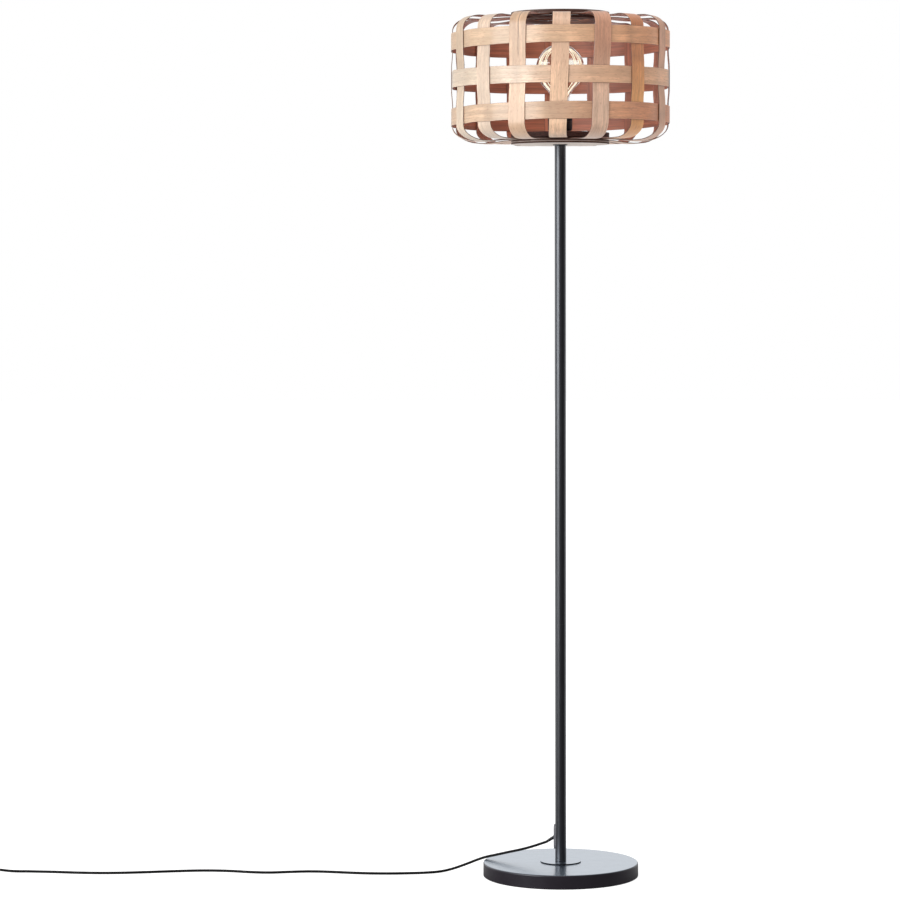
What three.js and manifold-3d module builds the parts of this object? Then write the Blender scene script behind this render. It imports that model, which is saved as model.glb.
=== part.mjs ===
// A floor lamp: a weighted round base, a slim black pole and a drum shade woven from flat
// bamboo strips round a clear globe bulb. Millimetres, +Z up. The origin is on the floor,
// under the middle of the pole. Seen from the front, -Y is near and +X is to the right.

import * as THREE from "three";
import { mergeVertices } from "three/addons/utils/BufferGeometryUtils.js";
import Module from "manifold-3d";

const wasm = await Module();
wasm.setup();

// Clearances that several pieces share.
const FIT_GAP = 0.3; // round a piece that sits in another
const SEAT_GAP = 0.1; // between flat faces that rest on each other
const CUT_OVERRUN = 6; // how far a cutter runs past what it cuts

// Base.
const BASE_DIAMETER = 252.5;
const BASE_TOP = 23; // height of the base's top above the floor
const COVER_WALL = 1.5;
const COVER_EDGE_RADIUS = 2.4;
const COVER_LIFT = 1; // the cover's rim stays this far off the floor
const PAD_THICKNESS = 2;
const PAD_INSET = 1.9;
const BOLT_SHANK_DIAMETER = 8;
const BOLT_LENGTH = 33;
const BOLT_HEAD_ACROSS_FLATS = 13;
const BOLT_HEAD_HEIGHT = 5;
const BOLT_FLANGE_DIAMETER = 24;
const BOLT_FLANGE_THICKNESS = 1.6;
const POCKET_DIAMETER = 30; // the recess for the bolt head, open at the bottom
const POCKET_ROOF = 9.5; // height of the recess's roof above the floor
const COLLAR_DIAMETER = 66;
const COLLAR_THICKNESS = 1.5;

// Pole.
const POLE_DIAMETER = 18;
const POLE_WALL = 1.2;
const POLE_SECTION_LENGTH = 387.4;
const POLE_SECTIONS = ["pole_lower", "pole_middle", "pole_upper"];
const COUPLING_LENGTH = 44;
const COUPLING_WALL = 2;
const INSERT_LENGTH = 18;
const NIPPLE_DIAMETER = 10;
const NIPPLE_WALL = 1.5;
const NIPPLE_BELOW = 15; // how far the nipple reaches down into the pole
const FLANGE_DIAMETER = 23.5;
const FLANGE_THICKNESS = 1.6;

// Shade: a sandwich of discs holds the strips' ends at the bottom, rings at the top.
const SHADE_RADIUS = 174.2; // from the axis to the middle of the weave
const SHADE_HEIGHT = 195.5; // between the middles of the two layers of strip ends
const STRIP_COUNT = 16;
const STRIP_WIDTH = 28;
const STRIP_THICKNESS = 1.2;
const WEAVE_GAP = 0.5; // air between a strip and the band that crosses it
const CORNER_REACH = 32; // how far in from the wall the drum's rounding runs
const CORNER_RISE_LOW = 22.4;
const CORNER_RISE_HIGH = 22.5;
const STRIP_GRIP = 21; // how far the strips reach in between the discs, and between the rings
const FRONT_SAG = 2; // how far the strips hang below the discs, in front
const BACK_SAG = 5;
const HEAD_SAG = 2.4; // how far they dip between the rings and the wall
const FOOT_SHARES = [0.03, 0.35, 0.7]; // where a foot bends, from the discs' rim outwards
const HEAD_SHARES = [0.5, 0.03];
const BAND_WIDTH = 27.4;
const BAND_THICKNESS = 1.2;
const BAND_HEIGHTS = [39, 95.3, 158]; // middles of the bands above the lower strip ends
const BAND_TILT = 1.7; // how far a crooked band rises at its right-hand side
const BAND_TILT_SHARES = [1, 0, 0.9];
const BAND_DROP = 5.3; // how far a band hangs lower at the back
const BAND_DROP_SHARES = [1, -0.1, 0.55];
const CROSSING_MARGIN = 2; // flat stretch past each edge of what crosses
const DISC_DIAMETER = 158;
const DISC_OUTER_THICKNESS = 6.5;
const DISC_INNER_THICKNESS = 8.5;
const RING_WIDTH = 24; // from the opening to the rim
const RING_OUTER_THICKNESS = 6.2;
const RING_INNER_THICKNESS = 4;
const RING_GROOVE = 0.6; // between the outer ring's two plies
// Sideways placement of each strip, as shares of the spacing between strips: hand-set
// strips stand a little off, and lean. The first is the front one, then anticlockwise
// seen from above.
const STRIP_FOOT_SHARES = [
  -0.065, -0.08, -0.03, 0.0, 0.04, 0.085, 0.13, 0.135, 0.18, 0.15, 0.13, 0.115, 0.1, 0.09,
  0.06, -0.025,
];
const STRIP_HEAD_SHARES = [
  0.04, 0.015, -0.03, 0.01, 0.05, 0.09, 0.125, 0.14, 0.165, 0.155, 0.135, 0.12, 0.1, 0.085,
  0.055, 0.015,
];

// Lamp holder and its nut.
const NUT_ACROSS_FLATS = 17;
const NUT_HEIGHT = 3;
const HOLDER_DIAMETER = 39;
const HOLDER_BASE_HEIGHT = 15.4;
const HOLDER_SHELL_HEIGHT = 32;
const HOLDER_WALL = 2;
const HOLDER_ROUNDING = 4;
const HOLDER_LIP = 3; // how far the base's spigot stands up inside the shell
const CERAMIC_HEIGHT = 9;
const CONTACT_WIDTH = 7;
const CONTACT_THICKNESS = 0.8;
const SOCKET_WALL = 0.6;
const THREAD_DEPTH = 0.8;
const THREAD_PITCH = 3.63;
const THREAD_TURNS = 5;
const THREAD_GAP = 0.4; // from the cap's crests to the socket

// Bulb: a clear globe on a screw cap.
const BULB_DIAMETER = 78;
const BULB_LENGTH = 120;
const BULB_GLASS_WALL = 1;
const BULB_NECK_RADIUS = 14.4;
const BULB_NECK_HEIGHT = 29; // above the tip, where the neck starts to open out
const GLOBE_START = THREE.MathUtils.degToRad(-40); // where the neck's curve meets the globe
const CAP_RADIUS = 13;
const CAP_HEIGHT = 24;
const CAP_WALL = 0.5;
const TIP_HEIGHT = 4.5;
const TIP_RADIUS = 9;
const TIP_POINT_RADIUS = 4;
const STEM_RADIUS = 4.2;
const STEM_TOP = 62; // above the tip
const FILAMENT_RADIUS = 0.9;
const FILAMENT_INSET = 4; // in from the outside of the glass
const FILAMENT_TOP = 9; // how near the axis its legs end above
const FILAMENT_LEGS = 12;
const FILAMENT_STEPS = 6; // per leg
const FILAMENT_SIDES = 4;

// Cord, and where it leaves the pole.
const CORD_DIAMETER = 4.2;
const OUTLET_HEIGHT = 64.4; // where the cord's line meets the pole's skin
const OUTLET_TURN = THREE.MathUtils.degToRad(168); // direction seen from above, from +X
const OUTLET_DROP = THREE.MathUtils.degToRad(33); // how steeply the cord comes out
const OUTLET_PLATE_MIDDLE = 64.3;
const OUTLET_PLATE_HEIGHT = 41;
const OUTLET_PLATE_WIDTH = 12;
const OUTLET_PLATE_PROUD = 1.8;
const OUTLET_PLATE_ROUNDING = 1;
const BOOT_LENGTH = 20;
const BOOT_START_RADIUS = 3.6;
const BOOT_END_RADIUS = 2.7;
const FLEX_BEND_HEIGHT = 6; // how far above the cord's line the flex is upright

// The cord's free run, chosen by hand: over the base's rim, then along the floor.
const CORD_POINTS = [
  [-28.1, 5.9, 52.9],
  [-43.1, 9.0, 47.3],
  [-63.8, 13.3, 40.8],
  [-86.4, 18.0, 35.1],
  [-105.4, 22.0, 30.2],
  [-124.4, 25.8, 25.2],
  [-137.5, 27.4, 20.5],
  [-149.0, 28.2, 15.8],
  [-163.5, 28.2, 10.3],
  [-178.3, 25.6, 5.8],
  [-195.1, 20.0, 2.9],
  [-215.3, 11.5, 2.3],
  [-253.1, 3.5, 2.3],
  [-293.7, 0.8, 2.3],
  [-334.9, 4.5, 2.3],
  [-370.6, 12.0, 2.3],
  [-408.9, 17.0, 2.3],
  [-446.3, 11.5, 2.3],
  [-478.2, 5.5, 2.3],
  [-508.0, 9.0, 2.3],
  [-544.3, 18.5, 2.3],
  [-585.0, 21.5, 2.3],
  [-630.0, 15.5, 2.3],
  [-680.0, 5.0, 2.3],
  [-730.0, -3.0, 2.3],
  [-780.0, -3.0, 2.3],
  [-830.0, 4.0, 2.3],
  [-872.0, 8.0, 2.3],
  [-902.0, 6.0, 3.2],
  [-924.0, 2.0, 6.2],
];
const CORD_STEPS = 78;
const CORD_SIDES = 8;

// Foot switch on the cord.
const SWITCH_CENTRE_X = -1000;
const SWITCH_LENGTH = 90;
const SWITCH_WIDTH = 33;
const SWITCH_SPLIT = 12.5; // height of the joint between its two shells
const SWITCH_TOP = 21.5;
const SWITCH_WALL = 2;
const SWITCH_BEVEL = 3;
const SWITCH_CORD_HEIGHT = 8;
const SWITCH_NOZZLE_LENGTH = 11;
const SWITCH_NOZZLE_RADIUS = 4.2;
const SWITCH_NOZZLE_END_RADIUS = 3;
const BUTTON_DIAMETER = 23;
const BUTTON_PROUD = 4;
const BUTTON_FLANGE = 1.6; // width and thickness of the flange that keeps it in
const BUTTON_TRAVEL = 3;
const BUTTON_GAP = 0.4;
const BUTTON_ROUNDING = 2;
const CORE_LENGTH = 26;
const CORE_WIDTH = 16;

// Coil of spare cord, past the foot switch.
const COIL_LAYER_TURNS = 2.25;
const COIL_INNER_RADIUS = 18.4;
const COIL_AIR = 0.7; // between neighbouring turns, and between the layers
const COIL_LEAD = 42; // from the switch's nozzle to where the turns start
const COIL_STEPS_PER_TURN = 24;
const COIL_SIDES = 6;

// Plug, flat on the floor at the cord's end.
const MAINS_BODY_LENGTH = 36;
const MAINS_BODY_WIDTH = 34;
const MAINS_BODY_THICKNESS = 13.7;
const MAINS_TAIL_LENGTH = 22;
const MAINS_TAIL_RADIUS = 3;
const MAINS_PIN_DIAMETER = 4;
const MAINS_PIN_LENGTH = 19;
const MAINS_PIN_SPACING = 18.6;
const MAINS_SHOULDER = 9; // over which the body widens
const MAINS_FRONT_ROUNDING = 1;
const MAINS_WAIST_SHARE = 0.62; // of the body's half thickness, where the tail ends
const MAINS_LEAD = 40; // from the coil's middle to the plug's tail, along the floor

// How finely round things are divided.
const BASE_SIDES = 64;
const ROUND_SIDES = 36;
const TUBE_SIDES = 24;
const SMALL_SIDES = 16;
const CORNER_STEPS = 6;
const CROSSOVER_SHARES = [0.25, 0.5, 0.75]; // stations between one crossing and the next
const WELD_DISTANCE = 0.001;
const NEARLY_UPRIGHT_SHARE = 0.01; // of a direction's length squared, lying flat

// Heights and sizes that follow from the ones above.
const COLLAR_BOTTOM = BASE_TOP + SEAT_GAP;
const POLE_BOTTOM = COLLAR_BOTTOM + COLLAR_THICKNESS + SEAT_GAP;
const POLE_PITCH = POLE_SECTION_LENGTH + SEAT_GAP;
const POLE_TOP = POLE_BOTTOM + POLE_SECTIONS.length * POLE_PITCH - SEAT_GAP;
const POLE_RADIUS = POLE_DIAMETER / 2;
const POLE_BORE_RADIUS = POLE_RADIUS - POLE_WALL;
const INSERT_RADIUS = POLE_BORE_RADIUS - FIT_GAP;
const BOLT_HOLE_RADIUS = BOLT_SHANK_DIAMETER / 2 + FIT_GAP;
const NIPPLE_HOLE_RADIUS = NIPPLE_DIAMETER / 2 + FIT_GAP;
const FLANGE_BOTTOM = POLE_TOP + SEAT_GAP;
const DISC_OUTER_BOTTOM = FLANGE_BOTTOM + FLANGE_THICKNESS + SEAT_GAP;
const LAYER_OFFSET = (STRIP_THICKNESS + WEAVE_GAP) / 2; // from the weave's middle to a strip's
const LAYERS_HALF = LAYER_OFFSET + STRIP_THICKNESS / 2; // half the thickness of both layers
const SHADE_LOW = DISC_OUTER_BOTTOM + DISC_OUTER_THICKNESS + SEAT_GAP + LAYERS_HALF;
const SHADE_HIGH = SHADE_LOW + SHADE_HEIGHT;
const DISC_RADIUS = DISC_DIAMETER / 2;
const STRIP_END_RADIUS = DISC_RADIUS - STRIP_GRIP;
const DISC_INNER_BOTTOM = SHADE_LOW + LAYERS_HALF + SEAT_GAP;
const RING_INNER_BOTTOM = SHADE_HIGH - LAYERS_HALF - SEAT_GAP - RING_INNER_THICKNESS;
const RING_OUTER_BOTTOM = SHADE_HIGH + LAYERS_HALF + SEAT_GAP;
const NUT_BOTTOM = DISC_INNER_BOTTOM + DISC_INNER_THICKNESS + SEAT_GAP;
const HOLDER_BOTTOM = NUT_BOTTOM + NUT_HEIGHT + SEAT_GAP;
const HOLDER_SPLIT = HOLDER_BOTTOM + HOLDER_BASE_HEIGHT;
const CERAMIC_BOTTOM = HOLDER_SPLIT + HOLDER_LIP - CERAMIC_HEIGHT;
const CONTACT_BOTTOM = CERAMIC_BOTTOM + CERAMIC_HEIGHT + SEAT_GAP;
const BULB_BOTTOM = CONTACT_BOTTOM + CONTACT_THICKNESS + SEAT_GAP;
const CORD_RADIUS = CORD_DIAMETER / 2;
const CORD_FLOOR = CORD_RADIUS + SEAT_GAP;
const SWITCH_REACH = SWITCH_LENGTH / 2 + SWITCH_NOZZLE_LENGTH + FIT_GAP;

// Materials.
const finish = (color, roughness, metalness = 0) =>
  new THREE.MeshStandardMaterial({ color, roughness, metalness });
const BLACK_PAINT = finish(0x24242a, 0.42, 0.2);
const BLACK_PLASTIC = finish(0x1d1d20, 0.5);
const GREY_PLASTIC = finish(0x3a3a3e, 0.55);
const FELT = finish(0x2a2a2a, 0.95);
const CAST_IRON = finish(0x4a4a4c, 0.75, 0.6);
const STEEL = finish(0x9a9a9c, 0.35, 0.9);
const BRASS = finish(0xb8924a, 0.35, 0.9);
const BAMBOO = finish(0xd9b088, 0.6);
const BAMBOO_DARK = finish(0x7a4a38, 0.65);
const PLYWOOD = finish(0xcdbb9f, 0.7);
const CERAMIC = finish(0xe6e2d8, 0.4);
const CLEAR_GLASS = finish(0xf2ead8, 0.05);
const FILAMENT_GOLD = finish(0xd9a441, 0.5);
const CORD_BLACK = finish(0x141416, 0.6);

const lamp = new THREE.Group();

// Adds one named piece to the lamp.
function add(name, geometry, material, x = 0, y = 0, z = 0) {
  const mesh = new THREE.Mesh(geometry, material);
  mesh.name = name;
  mesh.position.set(x, y, z);
  lamp.add(mesh);
}

// Merges a geometry's shared corners and drops the triangles that have no area.
function welded(geometry) {
  geometry.deleteAttribute("normal");
  geometry.deleteAttribute("uv");
  const merged = mergeVertices(geometry, WELD_DISTANCE);
  const index = merged.index.array;
  const kept = [];
  for (let i = 0; i < index.length; i += 3) {
    const [a, b, c] = index.slice(i, i + 3);
    if (a !== b && b !== c && c !== a) {
      kept.push(a, b, c);
    }
  }
  merged.setIndex(kept);
  return facingOut(merged);
}

// Turns the triangles round if they face inwards.
function facingOut(geometry) {
  const places = geometry.attributes.position;
  const index = geometry.index.array;
  const corner = (i) => new THREE.Vector3().fromBufferAttribute(places, index[i]);
  let volume = 0;
  for (let i = 0; i < index.length; i += 3) {
    volume += corner(i).dot(corner(i + 1).cross(corner(i + 2)));
  }
  if (volume < 0) {
    index.reverse();
  }
  return geometry;
}

// A turned piece about Z, from an outline of [radius, height] points that closes on itself.
function turned(outline, sides = ROUND_SIDES) {
  const points = [...outline, outline[0]].map(([r, z]) => new THREE.Vector2(r, z));
  return welded(new THREE.LatheGeometry(points, sides).rotateX(Math.PI / 2));
}

// A flat ring with square edges, standing on z = 0.
function ring(outerRadius, boreRadius, height, sides = ROUND_SIDES) {
  const outline = [
    [boreRadius, 0],
    [outerRadius, 0],
    [outerRadius, height],
    [boreRadius, height],
  ];
  return turned(outline, sides);
}

// A rod about Z, standing on z = 0.
function rod(radius, length, sides = SMALL_SIDES) {
  return turned([[0, 0], [radius, 0], [radius, length], [0, length]], sides);
}

// Points of an oval arc in [radius, height], from one turn to another, ends included.
function arc(centreR, centreZ, radiusR, radiusZ, from, to, steps) {
  return Array.from({ length: steps + 1 }, (_, i) => {
    const turn = from + ((to - from) * i) / steps;
    return [centreR + radiusR * Math.cos(turn), centreZ + radiusZ * Math.sin(turn)];
  });
}

// A six-sided prism, standing on z = 0, with a round bore if one is given.
function hexagon(acrossFlats, height, boreRadius = 0) {
  const reach = acrossFlats / 2 / Math.cos(Math.PI / 6);
  const corners = Array.from({ length: 6 }, (_, i) =>
    new THREE.Vector2(reach, 0).rotateAround(new THREE.Vector2(), (i * Math.PI) / 3));
  const shape = new THREE.Shape(corners);
  if (boreRadius) {
    shape.holes.push(new THREE.Path().absarc(0, 0, boreRadius, 0, 2 * Math.PI, true));
  }
  const settings = { depth: height, bevelEnabled: false, curveSegments: SMALL_SIDES };
  return welded(new THREE.ExtrudeGeometry(shape, settings));
}

// A plate with round ends along X, standing on z = 0, with rounded edges.
function oval(length, width, height, bevel) {
  const endRadius = width / 2 - bevel;
  const reach = (length - width) / 2;
  const shape = new THREE.Shape();
  shape.absarc(reach, 0, endRadius, -Math.PI / 2, Math.PI / 2, false);
  shape.absarc(-reach, 0, endRadius, Math.PI / 2, (3 * Math.PI) / 2, false);
  shape.closePath();
  const settings = {
    depth: height - 2 * bevel,
    bevelThickness: bevel,
    bevelSize: bevel,
    bevelSegments: 2,
    bevelEnabled: bevel > 0,
    curveSegments: 6,
  };
  return welded(new THREE.ExtrudeGeometry(shape, settings).translate(0, 0, bevel));
}

// Joins rings of points into one closed skin. A looped skin joins its last ring to its
// first, and an open one has flat ends.
function skin(rings, looped = false) {
  const sides = rings[0].length;
  const index = [];
  const at = (s, k) => (s % rings.length) * sides + (k % sides);
  const joins = looped ? rings.length : rings.length - 1;
  for (let s = 0; s < joins; s += 1) {
    for (let k = 0; k < sides; k += 1) {
      index.push(at(s, k), at(s, k + 1), at(s + 1, k + 1));
      index.push(at(s, k), at(s + 1, k + 1), at(s + 1, k));
    }
  }
  if (!looped) {
    const last = rings.length - 1;
    for (let k = 1; k < sides - 1; k += 1) {
      index.push(at(0, 0), at(0, k + 1), at(0, k));
      index.push(at(last, 0), at(last, k), at(last, k + 1));
    }
  }
  const places = rings.flat().flatMap((p) => [p.x, p.y, p.z]);
  const geometry = new THREE.BufferGeometry();
  geometry.setAttribute("position", new THREE.Float32BufferAttribute(places, 3));
  geometry.setIndex(index);
  return facingOut(geometry);
}

// The corners of a flat strip's section.
function stripSection(centre, across, normal, width, thickness) {
  const corners = [[-1, -1], [1, -1], [1, 1], [-1, 1]];
  return corners.map(([u, v]) =>
    centre
      .clone()
      .addScaledVector(across, (u * width) / 2)
      .addScaledVector(normal, (v * thickness) / 2));
}

// The corners of a round section across a direction, or of a squarer one with half sizes
// a across and b up.
function roundSection(centre, direction, a, b = a, sides = SMALL_SIDES, squareness = 2) {
  const across = new THREE.Vector3(-outletSide.y, outletSide.x, 0);
  if (direction.x ** 2 + direction.y ** 2 > NEARLY_UPRIGHT_SHARE) {
    across.set(-direction.y, direction.x, 0).normalize();
  }
  const up = new THREE.Vector3().crossVectors(direction, across).normalize();
  const bent = (value) => Math.sign(value) * Math.abs(value) ** (2 / squareness);
  return Array.from({ length: sides }, (_, k) => {
    const turn = (2 * Math.PI * (k + 1 / 2)) / sides;
    return centre
      .clone()
      .addScaledVector(across, a * bent(Math.cos(turn)))
      .addScaledVector(up, b * bent(Math.sin(turn)));
  });
}

// A tube of one thickness along a curve, in equal steps.
function tube(curve, radius, steps, sides) {
  const corners = Array.from({ length: sides }, (_, k) =>
    new THREE.Vector2(radius, 0).rotateAround(new THREE.Vector2(), (2 * Math.PI * k) / sides));
  const settings = { steps, extrudePath: curve };
  return welded(new THREE.ExtrudeGeometry(new THREE.Shape(corners), settings));
}

// A geometry as a solid for cutting, and a solid as a geometry.
function solid(geometry) {
  const mesh = new wasm.Mesh({
    numProp: 3,
    vertProperties: new Float32Array(geometry.attributes.position.array),
    triVerts: new Uint32Array(geometry.index.array),
  });
  return new wasm.Manifold(mesh);
}

function shown(body) {
  const mesh = body.getMesh();
  const geometry = new THREE.BufferGeometry();
  geometry.setAttribute("position", new THREE.BufferAttribute(mesh.vertProperties, 3));
  geometry.setIndex(new THREE.BufferAttribute(mesh.triVerts, 1));
  return geometry;
}

// Base: felt pad, iron weight, steel cover, the bolt that holds the pole, and its collar.
function makeBase() {
  const radius = BASE_DIAMETER / 2;
  const pocketRadius = POCKET_DIAMETER / 2;
  add("base_pad", ring(radius - PAD_INSET, pocketRadius, PAD_THICKNESS), FELT);
  const weightRadius = radius - COVER_WALL - FIT_GAP;
  const weightTop = BASE_TOP - COVER_WALL - SEAT_GAP;
  const weightBottom = PAD_THICKNESS + SEAT_GAP;
  const weight = [
    [pocketRadius, weightBottom],
    [weightRadius, weightBottom],
    [weightRadius, weightTop - COVER_EDGE_RADIUS],
    [weightRadius - COVER_EDGE_RADIUS, weightTop],
    [BOLT_HOLE_RADIUS, weightTop],
    [BOLT_HOLE_RADIUS, POCKET_ROOF],
    [pocketRadius, POCKET_ROOF],
  ];
  add("base_weight", turned(weight), CAST_IRON);
  const edgeR = radius - COVER_EDGE_RADIUS;
  const edgeZ = BASE_TOP - COVER_EDGE_RADIUS;
  const insideEdge = COVER_EDGE_RADIUS - COVER_WALL;
  const cover = [
    [radius - COVER_WALL, COVER_LIFT],
    [radius, COVER_LIFT],
    ...arc(edgeR, edgeZ, COVER_EDGE_RADIUS, COVER_EDGE_RADIUS, 0, Math.PI / 2, 2),
    [BOLT_HOLE_RADIUS, BASE_TOP],
    [BOLT_HOLE_RADIUS, BASE_TOP - COVER_WALL],
    ...arc(edgeR, edgeZ, insideEdge, insideEdge, Math.PI / 2, 0, 1),
  ];
  add("base_cover", turned(cover, BASE_SIDES), BLACK_PAINT);
  const collar = ring(COLLAR_DIAMETER / 2, BOLT_HOLE_RADIUS, COLLAR_THICKNESS);
  add("collar_plate", collar, BLACK_PAINT, 0, 0, COLLAR_BOTTOM);
  const flange = rod(BOLT_FLANGE_DIAMETER / 2, BOLT_FLANGE_THICKNESS, TUBE_SIDES);
  const headTop = BOLT_HEAD_HEIGHT + BOLT_FLANGE_THICKNESS;
  const bolt = solid(hexagon(BOLT_HEAD_ACROSS_FLATS, headTop))
    .add(solid(flange.translate(0, 0, BOLT_HEAD_HEIGHT)))
    .add(solid(rod(BOLT_SHANK_DIAMETER / 2, headTop + BOLT_LENGTH)));
  add("base_bolt", shown(bolt), STEEL, 0, 0, POCKET_ROOF - SEAT_GAP - headTop);
}

// The line along which the cord comes out of the pole. It crosses the pole's axis above
// the outlet and passes through the boot.
const outletSide = new THREE.Vector3(Math.cos(OUTLET_TURN), Math.sin(OUTLET_TURN), 0);
const outletDirection = outletSide
  .clone()
  .multiplyScalar(Math.cos(OUTLET_DROP))
  .add(new THREE.Vector3(0, 0, -Math.sin(OUTLET_DROP)));
const outletCrossing = OUTLET_HEIGHT + POLE_RADIUS * Math.tan(OUTLET_DROP);

// A point on that line, at a distance from where it crosses the axis.
function outletPoint(distance) {
  return new THREE.Vector3(0, 0, outletCrossing).addScaledVector(outletDirection, distance);
}

// The tapered boot, or its shape with room round it and longer, for cutting.
function boot(room = 0) {
  const start = outletPoint(CORD_DIAMETER - room);
  const end = outletPoint(CORD_DIAMETER + BOOT_LENGTH + room);
  return skin([
    roundSection(start, outletDirection, BOOT_START_RADIUS + room),
    roundSection(end, outletDirection, BOOT_END_RADIUS + room),
  ]);
}

// Pole: screwed tubes with couplings inside their joints, inserts at both ends, a flange
// and the hollow nipple that carries the shade and the lamp holder.
function makePole() {
  POLE_SECTIONS.forEach((name, i) => {
    const bottom = POLE_BOTTOM + i * POLE_PITCH;
    const section = ring(POLE_RADIUS, POLE_BORE_RADIUS, POLE_SECTION_LENGTH, TUBE_SIDES);
    if (i) {
      add(name, section, BLACK_PAINT, 0, 0, bottom);
      const coupling = ring(INSERT_RADIUS, INSERT_RADIUS - COUPLING_WALL, COUPLING_LENGTH,
        SMALL_SIDES);
      add(`pole_coupling_${i}`, coupling, STEEL, 0, 0, bottom - COUPLING_LENGTH / 2);
    } else {
      const cut = solid(section.translate(0, 0, bottom)).subtract(solid(boot(FIT_GAP)));
      add(name, shown(cut), BLACK_PAINT);
    }
  });
  const foot = ring(INSERT_RADIUS, BOLT_HOLE_RADIUS, INSERT_LENGTH, SMALL_SIDES);
  add("pole_foot_insert", foot, STEEL, 0, 0, POLE_BOTTOM);
  const head = ring(INSERT_RADIUS, NIPPLE_HOLE_RADIUS, INSERT_LENGTH, SMALL_SIDES);
  add("pole_head_insert", head, STEEL, 0, 0, POLE_TOP - INSERT_LENGTH);
  const flange = ring(FLANGE_DIAMETER / 2, NIPPLE_HOLE_RADIUS, FLANGE_THICKNESS, TUBE_SIDES);
  add("pole_flange", flange, BLACK_PAINT, 0, 0, FLANGE_BOTTOM);
  const nippleBottom = POLE_TOP - NIPPLE_BELOW;
  const nippleTop = HOLDER_BOTTOM + HOLDER_WALL + NUT_HEIGHT;
  const nipple = ring(NIPPLE_DIAMETER / 2, NIPPLE_DIAMETER / 2 - NIPPLE_WALL,
    nippleTop - nippleBottom, SMALL_SIDES);
  add("shade_nipple", nipple, STEEL, 0, 0, nippleBottom);
}

// The flex inside the pole, from the boot up to the lamp holder's core.
function makeInnerFlex() {
  const start = outletPoint(CORD_DIAMETER - FIT_GAP);
  const upright = new THREE.Vector3(0, 0, outletCrossing + FLEX_BEND_HEIGHT);
  const bend = new THREE.QuadraticBezierCurve3(start, outletPoint(0), upright);
  const rings = Array.from({ length: CORNER_STEPS + 1 }, (_, i) => {
    const share = i / CORNER_STEPS;
    return roundSection(bend.getPoint(share), bend.getTangent(share), CORD_RADIUS);
  });
  const top = new THREE.Vector3(0, 0, CERAMIC_BOTTOM - FIT_GAP);
  rings.push(roundSection(top, new THREE.Vector3(0, 0, 1), CORD_RADIUS));
  add("inner_flex", skin(rings), CORD_BLACK);
}

// Cable outlet: an oblong plate on the pole's skin, with the tapered boot through it.
function makeOutlet() {
  const depth = POLE_RADIUS + OUTLET_PLATE_PROUD;
  const plate = oval(OUTLET_PLATE_HEIGHT, OUTLET_PLATE_WIDTH, depth, OUTLET_PLATE_ROUNDING);
  plate.rotateY(Math.PI / 2).rotateZ(OUTLET_TURN).translate(0, 0, OUTLET_PLATE_MIDDLE);
  const poleRoom = rod(POLE_RADIUS + SEAT_GAP, OUTLET_PLATE_HEIGHT + 2 * CUT_OVERRUN, TUBE_SIDES);
  poleRoom.translate(0, 0, OUTLET_PLATE_MIDDLE - OUTLET_PLATE_HEIGHT / 2 - CUT_OVERRUN);
  const cut = solid(plate).subtract(solid(poleRoom)).subtract(solid(boot(FIT_GAP)));
  add("outlet_plate", shown(cut), GREY_PLASTIC);
  add("outlet_boot", boot(), BLACK_PLASTIC);
}

// Where a strip stands, seen from above, at a height: its turn from the front.
function stripTurn(i, z) {
  const share = THREE.MathUtils.clamp((z - SHADE_LOW) / SHADE_HEIGHT, 0, 1);
  const shift = THREE.MathUtils.lerp(STRIP_FOOT_SHARES[i], STRIP_HEAD_SHARES[i], share);
  return ((2 * Math.PI) / STRIP_COUNT) * (i + shift);
}

// Outward and sideways directions at a turn from the front.
const outward = (turn) => new THREE.Vector3(Math.sin(turn), -Math.cos(turn), 0);
const sideways = (turn) => new THREE.Vector3(Math.cos(turn), Math.sin(turn), 0);

// The height of a band's middle at a turn.
function bandLevel(b, turn) {
  const rise = BAND_TILT * BAND_TILT_SHARES[b] * Math.sin(turn);
  const drop = (BAND_DROP * BAND_DROP_SHARES[b] * (1 - Math.cos(turn))) / 2;
  return SHADE_LOW + BAND_HEIGHTS[b] + rise - drop;
}

// Plain weave: +1 where strip i lies over band b, and -1 where it lies under it.
const over = (i, b) => ((i + b) % 2 ? 1 : -1);

// A point of the drum's rounding, an oval corner between the wall and a flat end.
function cornerPoint(level, rise, turn) {
  const normal = new THREE.Vector2(rise * Math.cos(turn), CORNER_REACH * Math.sin(turn));
  normal.normalize();
  return {
    r: SHADE_RADIUS - CORNER_REACH * (1 - Math.cos(turn)),
    z: level + rise * Math.sin(turn),
    nr: normal.x,
    nz: normal.y,
  };
}

// How far strip i sags at a radius, at its foot or its head: not at all by the discs' rim
// and by the wall, and most half-way.
function sagAt(i, radius, isFoot) {
  const reach = (radius - DISC_RADIUS) / (SHADE_RADIUS - DISC_RADIUS);
  const share = THREE.MathUtils.clamp(reach, 0, 1);
  const backness = (1 - Math.cos(stripTurn(i, SHADE_LOW))) / 2;
  const footSag = THREE.MathUtils.lerp(FRONT_SAG, BACK_SAG, backness);
  return (isFoot ? footSag : HEAD_SAG) * Math.sin(Math.PI * share) ** 2;
}

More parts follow.
